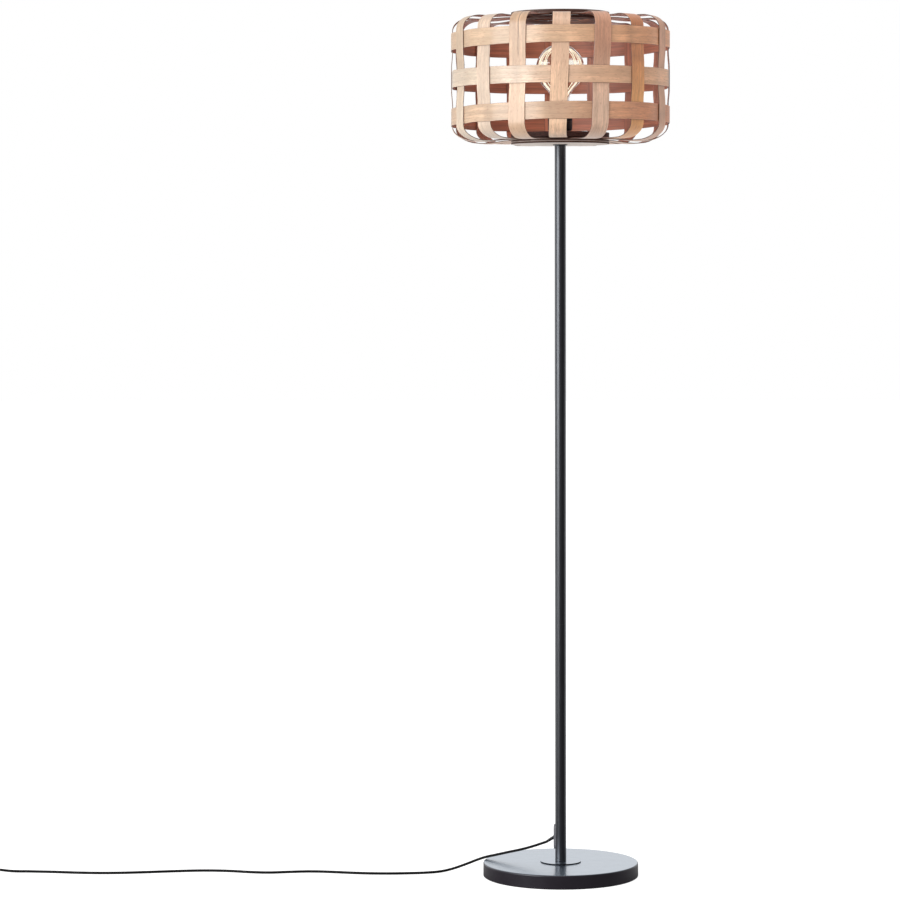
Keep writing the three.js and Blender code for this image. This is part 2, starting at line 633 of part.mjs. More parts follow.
// A strip's side view: level under the drum, round, up, round and level again, before it
// sags. It is upright from just below the bottom band. Each point has its outward normal,
// and side says how far over (+1) or under (-1) the strip lies.
function stripProfile(i) {
  const highTurn = SHADE_HIGH - CORNER_RISE_HIGH;
  const last = BAND_HEIGHTS.length - 1;
  const half = BAND_WIDTH / 2 + CROSSING_MARGIN;
  const levels = BAND_HEIGHTS.map((height, b) => bandLevel(b, stripTurn(i, SHADE_LOW + height)));
  const lowRise = Math.min(CORNER_RISE_LOW, levels[0] - half - SHADE_LOW);
  const profile = [{ r: STRIP_END_RADIUS, z: SHADE_LOW, nr: 0, nz: -1, side: over(i, 0) }];
  const corner = (level, rise, quarter, b) => {
    for (let k = 0; k <= CORNER_STEPS; k += 1) {
      const turn = ((quarter + k / CORNER_STEPS) * Math.PI) / 2;
      profile.push({ ...cornerPoint(level, rise, turn), side: over(i, b) });
    }
  };
  const wall = (z, side) => profile.push({ r: SHADE_RADIUS, z, nr: 1, nz: 0, side });
  const flat = (share, z, nz, b) => {
    const r = THREE.MathUtils.lerp(DISC_RADIUS, SHADE_RADIUS - CORNER_REACH, share);
    profile.push({ r, z, nr: 0, nz, side: over(i, b) });
  };
  FOOT_SHARES.forEach((share) => flat(share, SHADE_LOW, -1, 0));
  corner(SHADE_LOW + lowRise, lowRise, -1, 0);
  for (let b = 0; b < last; b += 1) {
    const from = levels[b] + half;
    const to = levels[b + 1] - half;
    for (const share of [0, ...CROSSOVER_SHARES, 1]) {
      const swing = (1 - Math.cos(Math.PI * share)) / 2;
      const side = THREE.MathUtils.lerp(over(i, b), over(i, b + 1), swing);
      wall(THREE.MathUtils.lerp(from, to, share), side);
    }
  }
  corner(highTurn, CORNER_RISE_HIGH, 0, last);
  HEAD_SHARES.forEach((share) => flat(share, SHADE_HIGH, 1, last));
  profile.push({ r: STRIP_END_RADIUS, z: SHADE_HIGH, nr: 0, nz: 1, side: over(i, last) });
  return profile;
}

function strip(i) {
  const rings = stripProfile(i).map((p) => {
    const turn = stripTurn(i, p.z);
    const centre = outward(turn).multiplyScalar(p.r + p.nr * p.side * LAYER_OFFSET);
    centre.z = p.z + p.nz * p.side * LAYER_OFFSET - sagAt(i, p.r, p.nz < 0);
    const normal = outward(turn).multiplyScalar(p.nr);
    normal.z = p.nz;
    return stripSection(centre, sideways(turn), normal, STRIP_WIDTH, STRIP_THICKNESS);
  });
  return skin(rings);
}

// A band: flat where it crosses each strip, over or under it, and curved in between.
function band(b) {
  const half = STRIP_WIDTH / 2 + CROSSING_MARGIN;
  const upright = new THREE.Vector3(0, 0, 1);
  const rings = [];
  const station = (point, turn) => {
    const centre = point.clone().setZ(bandLevel(b, turn));
    rings.push(stripSection(centre, upright, outward(turn), BAND_WIDTH, BAND_THICKNESS));
  };
  const flat = (i) => {
    const lap = Math.floor(i / STRIP_COUNT) * 2 * Math.PI;
    const turn = lap + stripTurn(i % STRIP_COUNT, SHADE_LOW + BAND_HEIGHTS[b]);
    const side = sideways(turn);
    const middle = outward(turn).multiplyScalar(SHADE_RADIUS - over(i, b) * LAYER_OFFSET);
    const start = middle.clone().addScaledVector(side, -half);
    return { turn, side, start, end: middle.addScaledVector(side, half) };
  };
  for (let i = 0; i < STRIP_COUNT; i += 1) {
    const here = flat(i);
    const next = flat(i + 1);
    station(here.start, here.turn);
    station(here.end, here.turn);
    const third = here.end.distanceTo(next.start) / 3;
    const bridge = new THREE.CubicBezierCurve3(
      here.end,
      here.end.clone().addScaledVector(here.side, third),
      next.start.clone().addScaledVector(next.side, -third),
      next.start,
    );
    for (const share of CROSSOVER_SHARES) {
      station(bridge.getPoint(share), THREE.MathUtils.lerp(here.turn, next.turn, share));
    }
  }
  return skin(rings, true);
}

// Shade: the woven drum, and the discs and rings that hold the strips' ends.
function makeShade() {
  for (let i = 0; i < STRIP_COUNT; i += 1) {
    add(`strip_${String(i + 1).padStart(2, "0")}`, strip(i), BAMBOO);
  }
  ["band_bottom", "band_middle", "band_top"].forEach((name, b) => add(name, band(b), BAMBOO));
  const opening = DISC_RADIUS - RING_WIDTH;
  const outerDisc = ring(DISC_RADIUS, NIPPLE_HOLE_RADIUS, DISC_OUTER_THICKNESS);
  add("shade_disc_outer", outerDisc, PLYWOOD, 0, 0, DISC_OUTER_BOTTOM);
  const innerDisc = ring(DISC_RADIUS, NIPPLE_HOLE_RADIUS, DISC_INNER_THICKNESS);
  add("shade_disc_inner", innerDisc, BAMBOO_DARK, 0, 0, DISC_INNER_BOTTOM);
  const middle = RING_OUTER_THICKNESS / 2;
  const outerRing = turned([
    [opening, 0],
    [DISC_RADIUS, 0],
    [DISC_RADIUS, middle - RING_GROOVE],
    [DISC_RADIUS - RING_GROOVE, middle],
    [DISC_RADIUS, middle + RING_GROOVE],
    [DISC_RADIUS, RING_OUTER_THICKNESS],
    [opening, RING_OUTER_THICKNESS],
  ]);
  add("shade_ring_outer", outerRing, BAMBOO_DARK, 0, 0, RING_OUTER_BOTTOM);
  const innerRing = ring(DISC_RADIUS, opening, RING_INNER_THICKNESS);
  add("shade_ring_inner", innerRing, BAMBOO_DARK, 0, 0, RING_INNER_BOTTOM);
}

// Lamp holder: its nut, base cup, shell, ceramic core, contact tongue and screw socket.
function makeHolder() {
  const radius = HOLDER_DIAMETER / 2;
  const nut = hexagon(NUT_ACROSS_FLATS, NUT_HEIGHT, NIPPLE_HOLE_RADIUS);
  add("holder_nut", nut, STEEL, 0, 0, NUT_BOTTOM);
  const inside = radius - HOLDER_WALL;
  const spigot = inside - FIT_GAP;
  const hollow = spigot - HOLDER_WALL;
  const spigotTop = HOLDER_BASE_HEIGHT + HOLDER_LIP;
  const roundingR = radius - HOLDER_ROUNDING;
  const cup = turned([
    [NIPPLE_HOLE_RADIUS, 0],
    ...arc(roundingR, HOLDER_ROUNDING, HOLDER_ROUNDING, HOLDER_ROUNDING, -Math.PI / 2, 0, 3),
    [radius, HOLDER_BASE_HEIGHT],
    [spigot, HOLDER_BASE_HEIGHT],
    [spigot, spigotTop],
    [hollow, spigotTop],
    [hollow, HOLDER_WALL],
    [NIPPLE_HOLE_RADIUS, HOLDER_WALL],
  ], TUBE_SIDES);
  add("holder_base", cup, BLACK_PLASTIC, 0, 0, HOLDER_BOTTOM);
  const shell = turned([
    [inside, 0],
    [radius, 0],
    [radius, HOLDER_SHELL_HEIGHT - HOLDER_WALL / 2],
    [radius - HOLDER_WALL / 2, HOLDER_SHELL_HEIGHT],
    [inside, HOLDER_SHELL_HEIGHT],
  ], TUBE_SIDES);
  add("holder_shell", shell, BLACK_PLASTIC, 0, 0, HOLDER_SPLIT + SEAT_GAP);
  const core = rod(hollow - FIT_GAP, CERAMIC_HEIGHT, TUBE_SIDES);
  add("holder_core", core, CERAMIC, 0, 0, CERAMIC_BOTTOM);
  const tongue = new THREE.BoxGeometry(CONTACT_WIDTH, 2 * CONTACT_WIDTH, CONTACT_THICKNESS);
  add("holder_contact", welded(tongue), BRASS, 0, 0, CONTACT_BOTTOM + CONTACT_THICKNESS / 2);
  const bore = CAP_RADIUS + THREAD_GAP;
  const socketTop = BULB_BOTTOM + CAP_HEIGHT - CONTACT_BOTTOM;
  const socket = ring(bore + SOCKET_WALL, bore, socketTop, TUBE_SIDES);
  add("holder_socket", socket, BRASS, 0, 0, CONTACT_BOTTOM);
}

// One side of the glass in [radius, height], from the neck to the crown.
function glassSide(inset) {
  const neckRadius = BULB_NECK_RADIUS - inset;
  const globeRadius = BULB_DIAMETER / 2 - inset;
  const globeZ = BULB_LENGTH - BULB_DIAMETER / 2;
  const meet = new THREE.Vector2(Math.cos(GLOBE_START), Math.sin(GLOBE_START));
  const join = meet.clone().multiplyScalar(globeRadius).add(new THREE.Vector2(0, globeZ));
  const pull = (join.y - BULB_NECK_HEIGHT) / 2;
  const bend = new THREE.CubicBezierCurve(
    new THREE.Vector2(neckRadius, BULB_NECK_HEIGHT),
    new THREE.Vector2(neckRadius, BULB_NECK_HEIGHT + pull),
    new THREE.Vector2(join.x + pull * meet.y, join.y - pull * meet.x),
    join,
  );
  const neck = bend.getPoints(4).map((p) => [p.x, p.y]);
  const globe = arc(0, globeZ, globeRadius, globeRadius, GLOBE_START, Math.PI / 2, 8);
  return [[CAP_RADIUS - inset, CAP_HEIGHT + SEAT_GAP], ...neck, ...globe.slice(1, -1),
    [0, globeZ + globeRadius]];
}

// Bulb: contact tip, screw cap, clear globe, glass stem and the filament round the stem.
function makeBulb() {
  const tip = turned([
    [0, 0],
    [TIP_POINT_RADIUS, 0],
    [TIP_RADIUS, TIP_HEIGHT],
    [0, TIP_HEIGHT],
  ], TUBE_SIDES);
  add("bulb_tip", tip, BLACK_PLASTIC, 0, 0, BULB_BOTTOM);
  const threadBottom = TIP_HEIGHT + SEAT_GAP;
  const ridges = Array.from({ length: 2 * THREAD_TURNS + 1 }, (_, i) =>
    [CAP_RADIUS - (i % 2 ? 0 : THREAD_DEPTH), threadBottom + (i * THREAD_PITCH) / 2]);
  const capBore = CAP_RADIUS - THREAD_DEPTH - CAP_WALL;
  const cap = turned([
    [TIP_RADIUS, threadBottom],
    ...ridges,
    [CAP_RADIUS, CAP_HEIGHT],
    [capBore, CAP_HEIGHT],
    [capBore, threadBottom + CAP_WALL],
    [TIP_RADIUS, threadBottom + CAP_WALL],
  ], SMALL_SIDES);
  add("bulb_cap", cap, STEEL, 0, 0, BULB_BOTTOM);
  const glass = turned([...glassSide(0), ...glassSide(BULB_GLASS_WALL).reverse()], TUBE_SIDES);
  add("bulb_glass", glass, CLEAR_GLASS, 0, 0, BULB_BOTTOM);
  const flare = CAP_RADIUS - BULB_GLASS_WALL - FIT_GAP;
  const stemBottom = CAP_HEIGHT + SEAT_GAP;
  const stem = turned([
    [0, stemBottom],
    [flare, stemBottom],
    [STEM_RADIUS, stemBottom + flare],
    ...arc(0, STEM_TOP - STEM_RADIUS, STEM_RADIUS, STEM_RADIUS, 0, Math.PI / 2, 3),
  ], SMALL_SIDES);
  add("bulb_stem", stem, CLEAR_GLASS, 0, 0, BULB_BOTTOM);
  add("bulb_filament", filament(), FILAMENT_GOLD, 0, 0, BULB_BOTTOM);
}

// The filament: one thread that runs up and down close under the glass, from the neck to the
// crown.
function filament() {
  const side = glassSide(FILAMENT_INSET).slice(1).filter(([radius]) => radius > FILAMENT_TOP);
  const points = [];
  for (let i = 0; i < FILAMENT_LEGS; i += 1) {
    const direction = outward((i * 2 * Math.PI) / FILAMENT_LEGS);
    const leg = side.map(([radius, z]) => direction.clone().multiplyScalar(radius).setZ(z));
    points.push(...(i % 2 ? leg.reverse() : leg));
  }
  const path = new THREE.CatmullRomCurve3(points, false, "chordal");
  return tube(path, FILAMENT_RADIUS, FILAMENT_STEPS * FILAMENT_LEGS, FILAMENT_SIDES);
}

// The cord's free run, from the boot to the foot switch.
function makeCordRun() {
  const bootEnd = CORD_DIAMETER + BOOT_LENGTH + FIT_GAP;
  const arrival = SWITCH_CENTRE_X + SWITCH_REACH;
  const points = [
    outletPoint(bootEnd),
    outletPoint(bootEnd + CORD_DIAMETER),
    ...CORD_POINTS.map((p) => new THREE.Vector3(...p)),
    new THREE.Vector3(arrival + CORD_DIAMETER, 0, SWITCH_CORD_HEIGHT),
    new THREE.Vector3(arrival, 0, SWITCH_CORD_HEIGHT),
  ];
  const path = new THREE.CatmullRomCurve3(points);
  add("cord_run", tube(path, CORD_RADIUS, CORD_STEPS, CORD_SIDES), CORD_BLACK);
  return path.getLength();
}

// One shell of the foot switch: a hollow half with its open side at the joint.
function switchShell(bottom, top, opensUp) {
  const height = top - bottom;
  const outside = oval(SWITCH_LENGTH, SWITCH_WIDTH, height + SWITCH_BEVEL, SWITCH_BEVEL);
  const width = SWITCH_WIDTH - 2 * SWITCH_WALL;
  const inside = oval(SWITCH_LENGTH - 2 * SWITCH_WALL, width, height + CUT_OVERRUN, 0);
  const lid = new THREE.BoxGeometry(
    SWITCH_LENGTH + CUT_OVERRUN, SWITCH_WIDTH + CUT_OVERRUN, CUT_OVERRUN);
  if (opensUp) {
    outside.translate(0, 0, bottom);
    inside.translate(0, 0, bottom + SWITCH_WALL);
    lid.translate(0, 0, top + CUT_OVERRUN / 2);
  } else {
    outside.translate(0, 0, bottom - SWITCH_BEVEL);
    inside.translate(0, 0, top - SWITCH_WALL - height - CUT_OVERRUN);
    lid.translate(0, 0, bottom - CUT_OVERRUN / 2);
  }
  return solid(outside).subtract(solid(inside)).subtract(solid(welded(lid)));
}

// Foot switch: two shells, the latching core inside and the round button on top.
function makeSwitch() {
  let base = switchShell(SEAT_GAP, SWITCH_SPLIT, true);
  for (const direction of [new THREE.Vector3(1, 0, 0), new THREE.Vector3(-1, 0, 0)]) {
    const height = new THREE.Vector3(0, 0, SWITCH_CORD_HEIGHT);
    const root = height.clone().addScaledVector(direction, SWITCH_LENGTH / 2 - SWITCH_WALL);
    const end = root.clone().addScaledVector(direction, SWITCH_WALL + SWITCH_NOZZLE_LENGTH);
    const nozzle = skin([
      roundSection(root, direction, SWITCH_NOZZLE_RADIUS),
      roundSection(end, direction, SWITCH_NOZZLE_END_RADIUS),
    ]);
    base = base.add(solid(nozzle));
  }
  add("switch_base", shown(base), BLACK_PLASTIC, SWITCH_CENTRE_X);
  const hole = rod(BUTTON_DIAMETER / 2 + BUTTON_GAP, SWITCH_TOP, TUBE_SIDES);
  const cover = switchShell(SWITCH_SPLIT + SEAT_GAP, SWITCH_TOP, false)
    .subtract(solid(hole.translate(0, 0, SWITCH_TOP / 2)));
  add("switch_cover", shown(cover), BLACK_PLASTIC, SWITCH_CENTRE_X);
  const radius = BUTTON_DIAMETER / 2;
  const flangeTop = SWITCH_TOP - SWITCH_WALL - FIT_GAP;
  const flangeBottom = flangeTop - BUTTON_FLANGE;
  const crown = SWITCH_TOP + BUTTON_PROUD - BUTTON_ROUNDING;
  const button = turned([
    [0, flangeBottom],
    [radius + BUTTON_FLANGE, flangeBottom],
    [radius + BUTTON_FLANGE, flangeTop],
    [radius, flangeTop],
    ...arc(radius - BUTTON_ROUNDING, crown, BUTTON_ROUNDING, BUTTON_ROUNDING, 0, Math.PI / 2, 3),
    [0, SWITCH_TOP + BUTTON_PROUD],
  ], TUBE_SIDES);
  add("switch_button", button, GREY_PLASTIC, SWITCH_CENTRE_X);
  const coreBottom = SEAT_GAP + SWITCH_WALL + SEAT_GAP;
  const coreTop = flangeBottom - BUTTON_TRAVEL - BUTTON_GAP;
  const core = new THREE.BoxGeometry(CORE_LENGTH, CORE_WIDTH, coreTop - coreBottom);
  add("switch_core", welded(core), CERAMIC, SWITCH_CENTRE_X, 0, (coreTop + coreBottom) / 2);
}

// The coil's middle line: from the switch down to the floor, spiralling in on the floor,
// up a layer where it turns back, spiralling out on top, and straight to the plug.
function coilPoints() {
  const pitch = CORD_DIAMETER + COIL_AIR;
  const outerRadius = COIL_INNER_RADIUS + COIL_LAYER_TURNS * pitch;
  const startX = SWITCH_CENTRE_X - SWITCH_REACH;
  const middle = new THREE.Vector3(startX - COIL_LEAD, -outerRadius, 0);
  const points = [];
  const leadSteps = 5;
  points.push(new THREE.Vector3(startX, 0, SWITCH_CORD_HEIGHT));
  for (let k = 0; k < leadSteps; k += 1) {
    const share = k / leadSteps;
    const x = THREE.MathUtils.lerp(startX - CORD_DIAMETER, middle.x, share);
    const fall = (1 - Math.cos(Math.PI * share)) / 2;
    points.push(new THREE.Vector3(x, 0, THREE.MathUtils.lerp(SWITCH_CORD_HEIGHT, CORD_FLOOR, fall)));
  }
  const steps = Math.round(2 * COIL_LAYER_TURNS * COIL_STEPS_PER_TURN);
  for (let k = 0; k <= steps; k += 1) {
    const turns = k / COIL_STEPS_PER_TURN;
    const fromReversal = turns - COIL_LAYER_TURNS;
    const radius = COIL_INNER_RADIUS + pitch * Math.abs(fromReversal);
    const climb = THREE.MathUtils.clamp(2 * fromReversal + 1 / 2, 0, 1);
    const turn = Math.PI / 2 + 2 * Math.PI * turns;
    points.push(new THREE.Vector3(
      middle.x + radius * Math.cos(turn),
      middle.y + radius * Math.sin(turn),
      CORD_FLOOR + pitch * climb,
    ));
  }
  const plugStart = mainsStart();
  for (const back of [CORD_DIAMETER, 0]) {
    points.push(plugStart.clone().add(new THREE.Vector3(-back, 0, 0)));
  }
  return points;
}

// Where the cord ends, at the plug's tail.
function mainsStart() {
  const outerRadius = COIL_INNER_RADIUS + COIL_LAYER_TURNS * (CORD_DIAMETER + COIL_AIR);
  return new THREE.Vector3(
    SWITCH_CENTRE_X - SWITCH_REACH - COIL_LEAD + MAINS_LEAD,
    -2 * outerRadius,
    MAINS_BODY_THICKNESS / 2 + SEAT_GAP,
  );
}

// The least gap between the coil and itself, measured between points that are over half
// a turn apart along it.
function leastGap(points) {
  const skipped = COIL_STEPS_PER_TURN / 2;
  let least = Infinity;
  points.forEach((p, i) => {
    for (const q of points.slice(i + skipped)) {
      least = Math.min(least, p.distanceTo(q) - CORD_DIAMETER);
    }
  });
  return least;
}

function makeCoil() {
  const points = coilPoints();
  const rings = points.map((p, i) => {
    const before = points[Math.max(i - 1, 0)];
    const after = points[Math.min(i + 1, points.length - 1)];
    const direction = after.clone().sub(before).normalize();
    return roundSection(p, direction, CORD_RADIUS, CORD_RADIUS, COIL_SIDES);
  });
  add("cord_coil", skin(rings), CORD_BLACK);
  const length = points.slice(1).reduce((sum, p, i) => sum + p.distanceTo(points[i]), 0);
  return { length, gap: leastGap(points) };
}

// Plug: a flat moulded body that tapers back to the cord, and two round pins.
function makePlug() {
  const start = mainsStart().add(new THREE.Vector3(FIT_GAP, 0, 0));
  const front = MAINS_TAIL_LENGTH + MAINS_BODY_LENGTH;
  const halfWidth = MAINS_BODY_WIDTH / 2;
  const halfThickness = MAINS_BODY_THICKNESS / 2;
  const forward = new THREE.Vector3(1, 0, 0);
  const rings = [
    [0, MAINS_TAIL_RADIUS, MAINS_TAIL_RADIUS, 2],
    [MAINS_TAIL_LENGTH, halfThickness * MAINS_WAIST_SHARE, halfThickness * MAINS_WAIST_SHARE, 2],
    [MAINS_TAIL_LENGTH + MAINS_SHOULDER, halfWidth, halfThickness, 3],
    [front - MAINS_FRONT_ROUNDING, halfWidth, halfThickness, 4],
    [front, halfWidth - MAINS_FRONT_ROUNDING, halfThickness - MAINS_FRONT_ROUNDING, 4],
  ].map(([x, a, b, squareness]) =>
    roundSection(start.clone().addScaledVector(forward, x), forward, a, b, TUBE_SIDES, squareness));
  add("plug_body", skin(rings), BLACK_PLASTIC);
  ["plug_pin_near", "plug_pin_far"].forEach((name, i) => {
    const side = (i - 1 / 2) * MAINS_PIN_SPACING;
    const pin = rod(MAINS_PIN_DIAMETER / 2, MAINS_PIN_LENGTH).rotateY(Math.PI / 2);
    add(name, pin, STEEL, start.x + front + SEAT_GAP, start.y + side, start.z);
  });
}

makeBase();
makePole();
makeInnerFlex();
makeOutlet();
makeShade();
makeHolder();
makeBulb();
const runLength = makeCordRun();
makeSwitch();
const coil = makeCoil();
makePlug();

console.log(`cord: run ${runLength.toFixed(0)} mm, coil ${coil.length.toFixed(0)} mm`);
console.log(`coil: least gap to itself ${coil.gap.toFixed(2)} mm`);

export default lamp;
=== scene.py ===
"""Dresses a floor lamp whose drum shade is woven of wide, flat bamboo strips.

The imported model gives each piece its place. Each sub-assembly below is a class that holds its
sizes in metres, builds its meshes and gives them their finishes.
"""

from __future__ import annotations

import logging
import math
from collections.abc import Callable, Sequence
from dataclasses import dataclass
from enum import Enum
from typing import Any, Union

import bpy
from mathutils import Matrix, Vector, noise


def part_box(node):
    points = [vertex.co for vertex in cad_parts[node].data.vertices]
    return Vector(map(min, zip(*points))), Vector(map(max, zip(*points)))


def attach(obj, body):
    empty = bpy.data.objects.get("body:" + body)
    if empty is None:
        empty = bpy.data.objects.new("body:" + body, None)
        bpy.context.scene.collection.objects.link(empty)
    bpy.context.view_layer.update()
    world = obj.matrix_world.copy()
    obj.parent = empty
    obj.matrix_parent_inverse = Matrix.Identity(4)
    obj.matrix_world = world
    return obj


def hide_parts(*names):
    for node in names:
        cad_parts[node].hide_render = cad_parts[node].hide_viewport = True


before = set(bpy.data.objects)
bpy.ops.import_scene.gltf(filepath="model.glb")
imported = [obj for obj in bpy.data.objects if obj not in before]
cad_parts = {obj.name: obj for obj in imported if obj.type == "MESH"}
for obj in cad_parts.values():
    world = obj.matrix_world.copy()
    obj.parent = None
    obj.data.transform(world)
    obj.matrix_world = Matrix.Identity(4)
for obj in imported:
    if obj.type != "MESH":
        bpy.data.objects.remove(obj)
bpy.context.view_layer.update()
LOG = logging.getLogger("lamp")

Colour = tuple[float, float, float]
Point = tuple[float, float]
UP = Vector((0, 0, 1))
FIT = 0.0003  # round what sits in something else, in metres
SEAT = 0.0001  # between faces that rest on each other
NIPPLE_HOLE = 0.0053  # the radius of the holes that the nipple passes through


class Body(Enum):
    """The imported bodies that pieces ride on."""

    LAMP = "lamp"
    CONTACT = "bulb_contact"
    BULB = "bulb"
    BUTTON = "button"


def srgb(red: int, green: int, blue: int) -> Colour:
    """Gives a screen colour, 0 to 255, as linear light."""
    parts = (part / 255 for part in (red, green, blue))
    return tuple(p / 12.92 if p <= 0.04045 else ((p + 0.055) / 1.055) ** 2.4 for p in parts)


def tone(colour: Colour, factor: float) -> Colour:
    """Gives a colour made lighter or darker by a factor, and no more than white."""
    return tuple(min(1.0, part * factor) for part in colour)


def ease(share: float) -> float:
    """Gives a share from 0 to 1 that starts and ends gently."""
    return (1 - math.cos(math.pi * share)) / 2


def lerp(start: float, end: float, share: float) -> float:
    """Gives the value a share of the way from start to end."""
    return start + (end - start) * share


# Shaders


class Value:
    """One number that varies over a surface. Its operators add Math nodes."""

    def __init__(self, shader: Shader, socket: bpy.types.NodeSocket) -> None:
        """Wraps a socket.

        Args:
            shader: The node tree that the socket belongs to.
            socket: An output that carries one number.
        """
        self.shader = shader
        self.socket = socket

    def __add__(self, other: Operand) -> Value:
        """Adds."""
        return self.shader.math("ADD", self, other)

    __radd__ = __add__

    def __sub__(self, other: Operand) -> Value:
        """Takes other from this."""
        return self.shader.math("SUBTRACT", self, other)

    def __rsub__(self, other: Operand) -> Value:
        """Takes this from other."""
        return self.shader.math("SUBTRACT", other, self)

    def __mul__(self, other: Operand) -> Value:
        """Multiplies."""
        return self.shader.math("MULTIPLY", self, other)

    __rmul__ = __mul__

    def __pow__(self, other: Operand) -> Value:
        """Raises this to a power."""
        return self.shader.math("POWER", self, other)

    def __mod__(self, other: Operand) -> Value:
        """Wraps this round, from 0 to other."""
        return self.shader.math("FLOORED_MODULO", self, other)

    def __abs__(self) -> Value:
        """Drops the sign."""
        return self.shader.math("ABSOLUTE", self)

    def __or__(self, other: Operand) -> Value:
        """Takes the larger of two masks."""
        return self.shader.math("MAXIMUM", self, other)

    def rises(self, low: float, high: float) -> Value:
        """Gives a smooth mask, 0 up to low and 1 from high on.

        Args:
            low: The value at which the mask starts to rise.
            high: The value at which it is full.

        Returns:
            The mask.
        """
        node = self.shader.node(
            "ShaderNodeMapRange",
            {"interpolation_type": "SMOOTHSTEP"},
            {"Value": self, "From Min": low, "From Max": high},
        )
        return Value(self.shader, node.outputs["Result"])


Operand = Union[Value, float]


class Shader:
    """A node tree, with short ways to add nodes to it."""

    def __init__(self, tree: bpy.types.NodeTree) -> None:
        """Clears a tree.

        Args:
            tree: The node tree of a material or of the world.
        """
        self.tree = tree
        tree.nodes.clear()

    def node(
        self,
        kind: str,
        settings: dict[str, Any] | None = None,
        inputs: dict[str | int, Any] | None = None,
    ) -> bpy.types.Node:
        """Adds a node.

        Args:
            kind: Its type, as Blender names it.
            settings: Its own settings, which are set first.
            inputs: Values, or links as sockets, for its sockets by name or number.

        Returns:
            The node.
        """
        made = self.tree.nodes.new(kind)
        for name, value in (settings or {}).items():
            setattr(made, name, value)
        for name, value in (inputs or {}).items():
            source = getattr(value, "socket", value)
            if isinstance(source, bpy.types.NodeSocket):
                self.tree.links.new(source, made.inputs[name])
            elif made.inputs[name].type == "RGBA" and len(source) == 3:
                made.inputs[name].default_value = (*source, 1)
            else:
                made.inputs[name].default_value = source
        return made

    def math(self, operation: str, *operands: Operand) -> Value:
        """Adds a Math node.

        Args:
            operation: What it does.
            operands: Its one or two values.

        Returns:
            Its result.
        """
        inputs = dict(enumerate(operands))
        return Value(self, self.node("ShaderNodeMath", {"operation": operation}, inputs).outputs[0])

    def place(self, output: str) -> tuple[Value, Value, Value]:
        """Gives the three parts of a texture coordinate.

        Args:
            output: Object for the place in the lamp's frame, UV for the place on a strip, or
                Normal for the way that the surface faces.

        Returns:
            The parts, in metres for a place.
        """
        coordinate = self.node("ShaderNodeTexCoord").outputs[output]
        split = self.node("ShaderNodeSeparateXYZ", inputs={"Vector": coordinate})
        return tuple(Value(self, part) for part in split.outputs)

    def noise(
        self, x: Operand, y: Operand, z: Operand, detail: float = 2, roughness: float = 0.5
    ) -> Value:
        """Adds smooth noise.

        Args:
            x: First part of the place where the noise is read, in noise cells.
            y: Second part.
            z: Third part.
            detail: How many finer layers the noise has.
            roughness: How strong those layers are.

        Returns:
            The noise, around 0.5.
        """
        vector = self.node("ShaderNodeCombineXYZ", inputs={"X": x, "Y": y, "Z": z})
        made = self.node(
            "ShaderNodeTexNoise",
            inputs={
                "Vector": vector.outputs[0],
                "Scale": 1,
                "Detail": detail,
                "Roughness": roughness,
            },
        )
        return Value(self, made.outputs["Fac"])

    def grain(
        self, x: float, y: float, z: float, detail: float = 2, roughness: float = 0.5
    ) -> Value:
        """Adds smooth noise over the lamp's frame.

        Args:
            x: How many noise cells a metre has along X.
            y: How many it has along Y.
            z: How many it has along Z.
            detail: How many finer layers the noise has.
            roughness: How strong those layers are.

        Returns:
            The noise, around 0.5.
        """
        place = self.place("Object")
        return self.noise(place[0] * x, place[1] * y, place[2] * z, detail, roughness)

    def mix(self, factor: Operand, first: Any, second: Any) -> bpy.types.NodeSocket:
        """Mixes two colours.

        Args:
            factor: The share of the second.
            first: A colour, or a socket that carries one.
            second: Another.

        Returns:
            The mixed colour's socket.
        """
        inputs = {0: factor, 6: first, 7: second}
        return self.node("ShaderNodeMix", {"data_type": "RGBA"}, inputs).outputs[2]

    def bump(self, height: Value, depth: float, strength: float = 1) -> bpy.types.NodeSocket:
        """Turns a height into a normal.

        Args:
            height: The height, from 0 to 1.
            depth: What 1 stands for, in metres.
            strength: How much of it shows.

        Returns:
            The normal's socket.
        """
        inputs = {"Height": height, "Distance": depth, "Strength": strength}
        return self.node("ShaderNodeBump", inputs=inputs).outputs["Normal"]


class Surface(Shader):
    """A material with one Principled surface."""

    def __init__(self, name: str) -> None:
        """Starts a material.

        Args:
            name: The material's name.
        """
        self.material = bpy.data.materials.new(name)
        self.material.use_nodes = True
        super().__init__(self.material.node_tree)

    def finish(self, inputs: dict[str, Any]) -> bpy.types.Material:
        """Adds the surface itself.

        Args:
            inputs: Values or links for the Principled node's sockets.

        Returns:
            The material.
        """
        principled = self.node("ShaderNodeBsdfPrincipled", inputs=inputs)
        self.node("ShaderNodeOutputMaterial", inputs={"Surface": principled.outputs[0]})
        return self.material


# Finishes


@dataclass(frozen=True)
class Split:
    """A crack that runs along a strip."""

    across: float  # where it lies across the strip, as a share of its width from the left
    start: float  # where it starts along the strip, as a share of its length
    end: float  # where it ends


@dataclass(frozen=True)
class Grain:
    """One layer of a cane's grain, as noise along and across the strip."""

    along: float  # how many noise cells a metre has along the strip
    across: float  # how many it has across the strip
    offset: float  # what sets the layer apart from the others
    detail: float  # how many finer layers the noise has
    roughness: float  # how strong those are
    low: float  # the noise at which the layer starts to show
    high: float  # the noise at which it shows in full
    share: float  # how much of it shows then
    brightness: float  # how bright it is, as a share of the plain colour


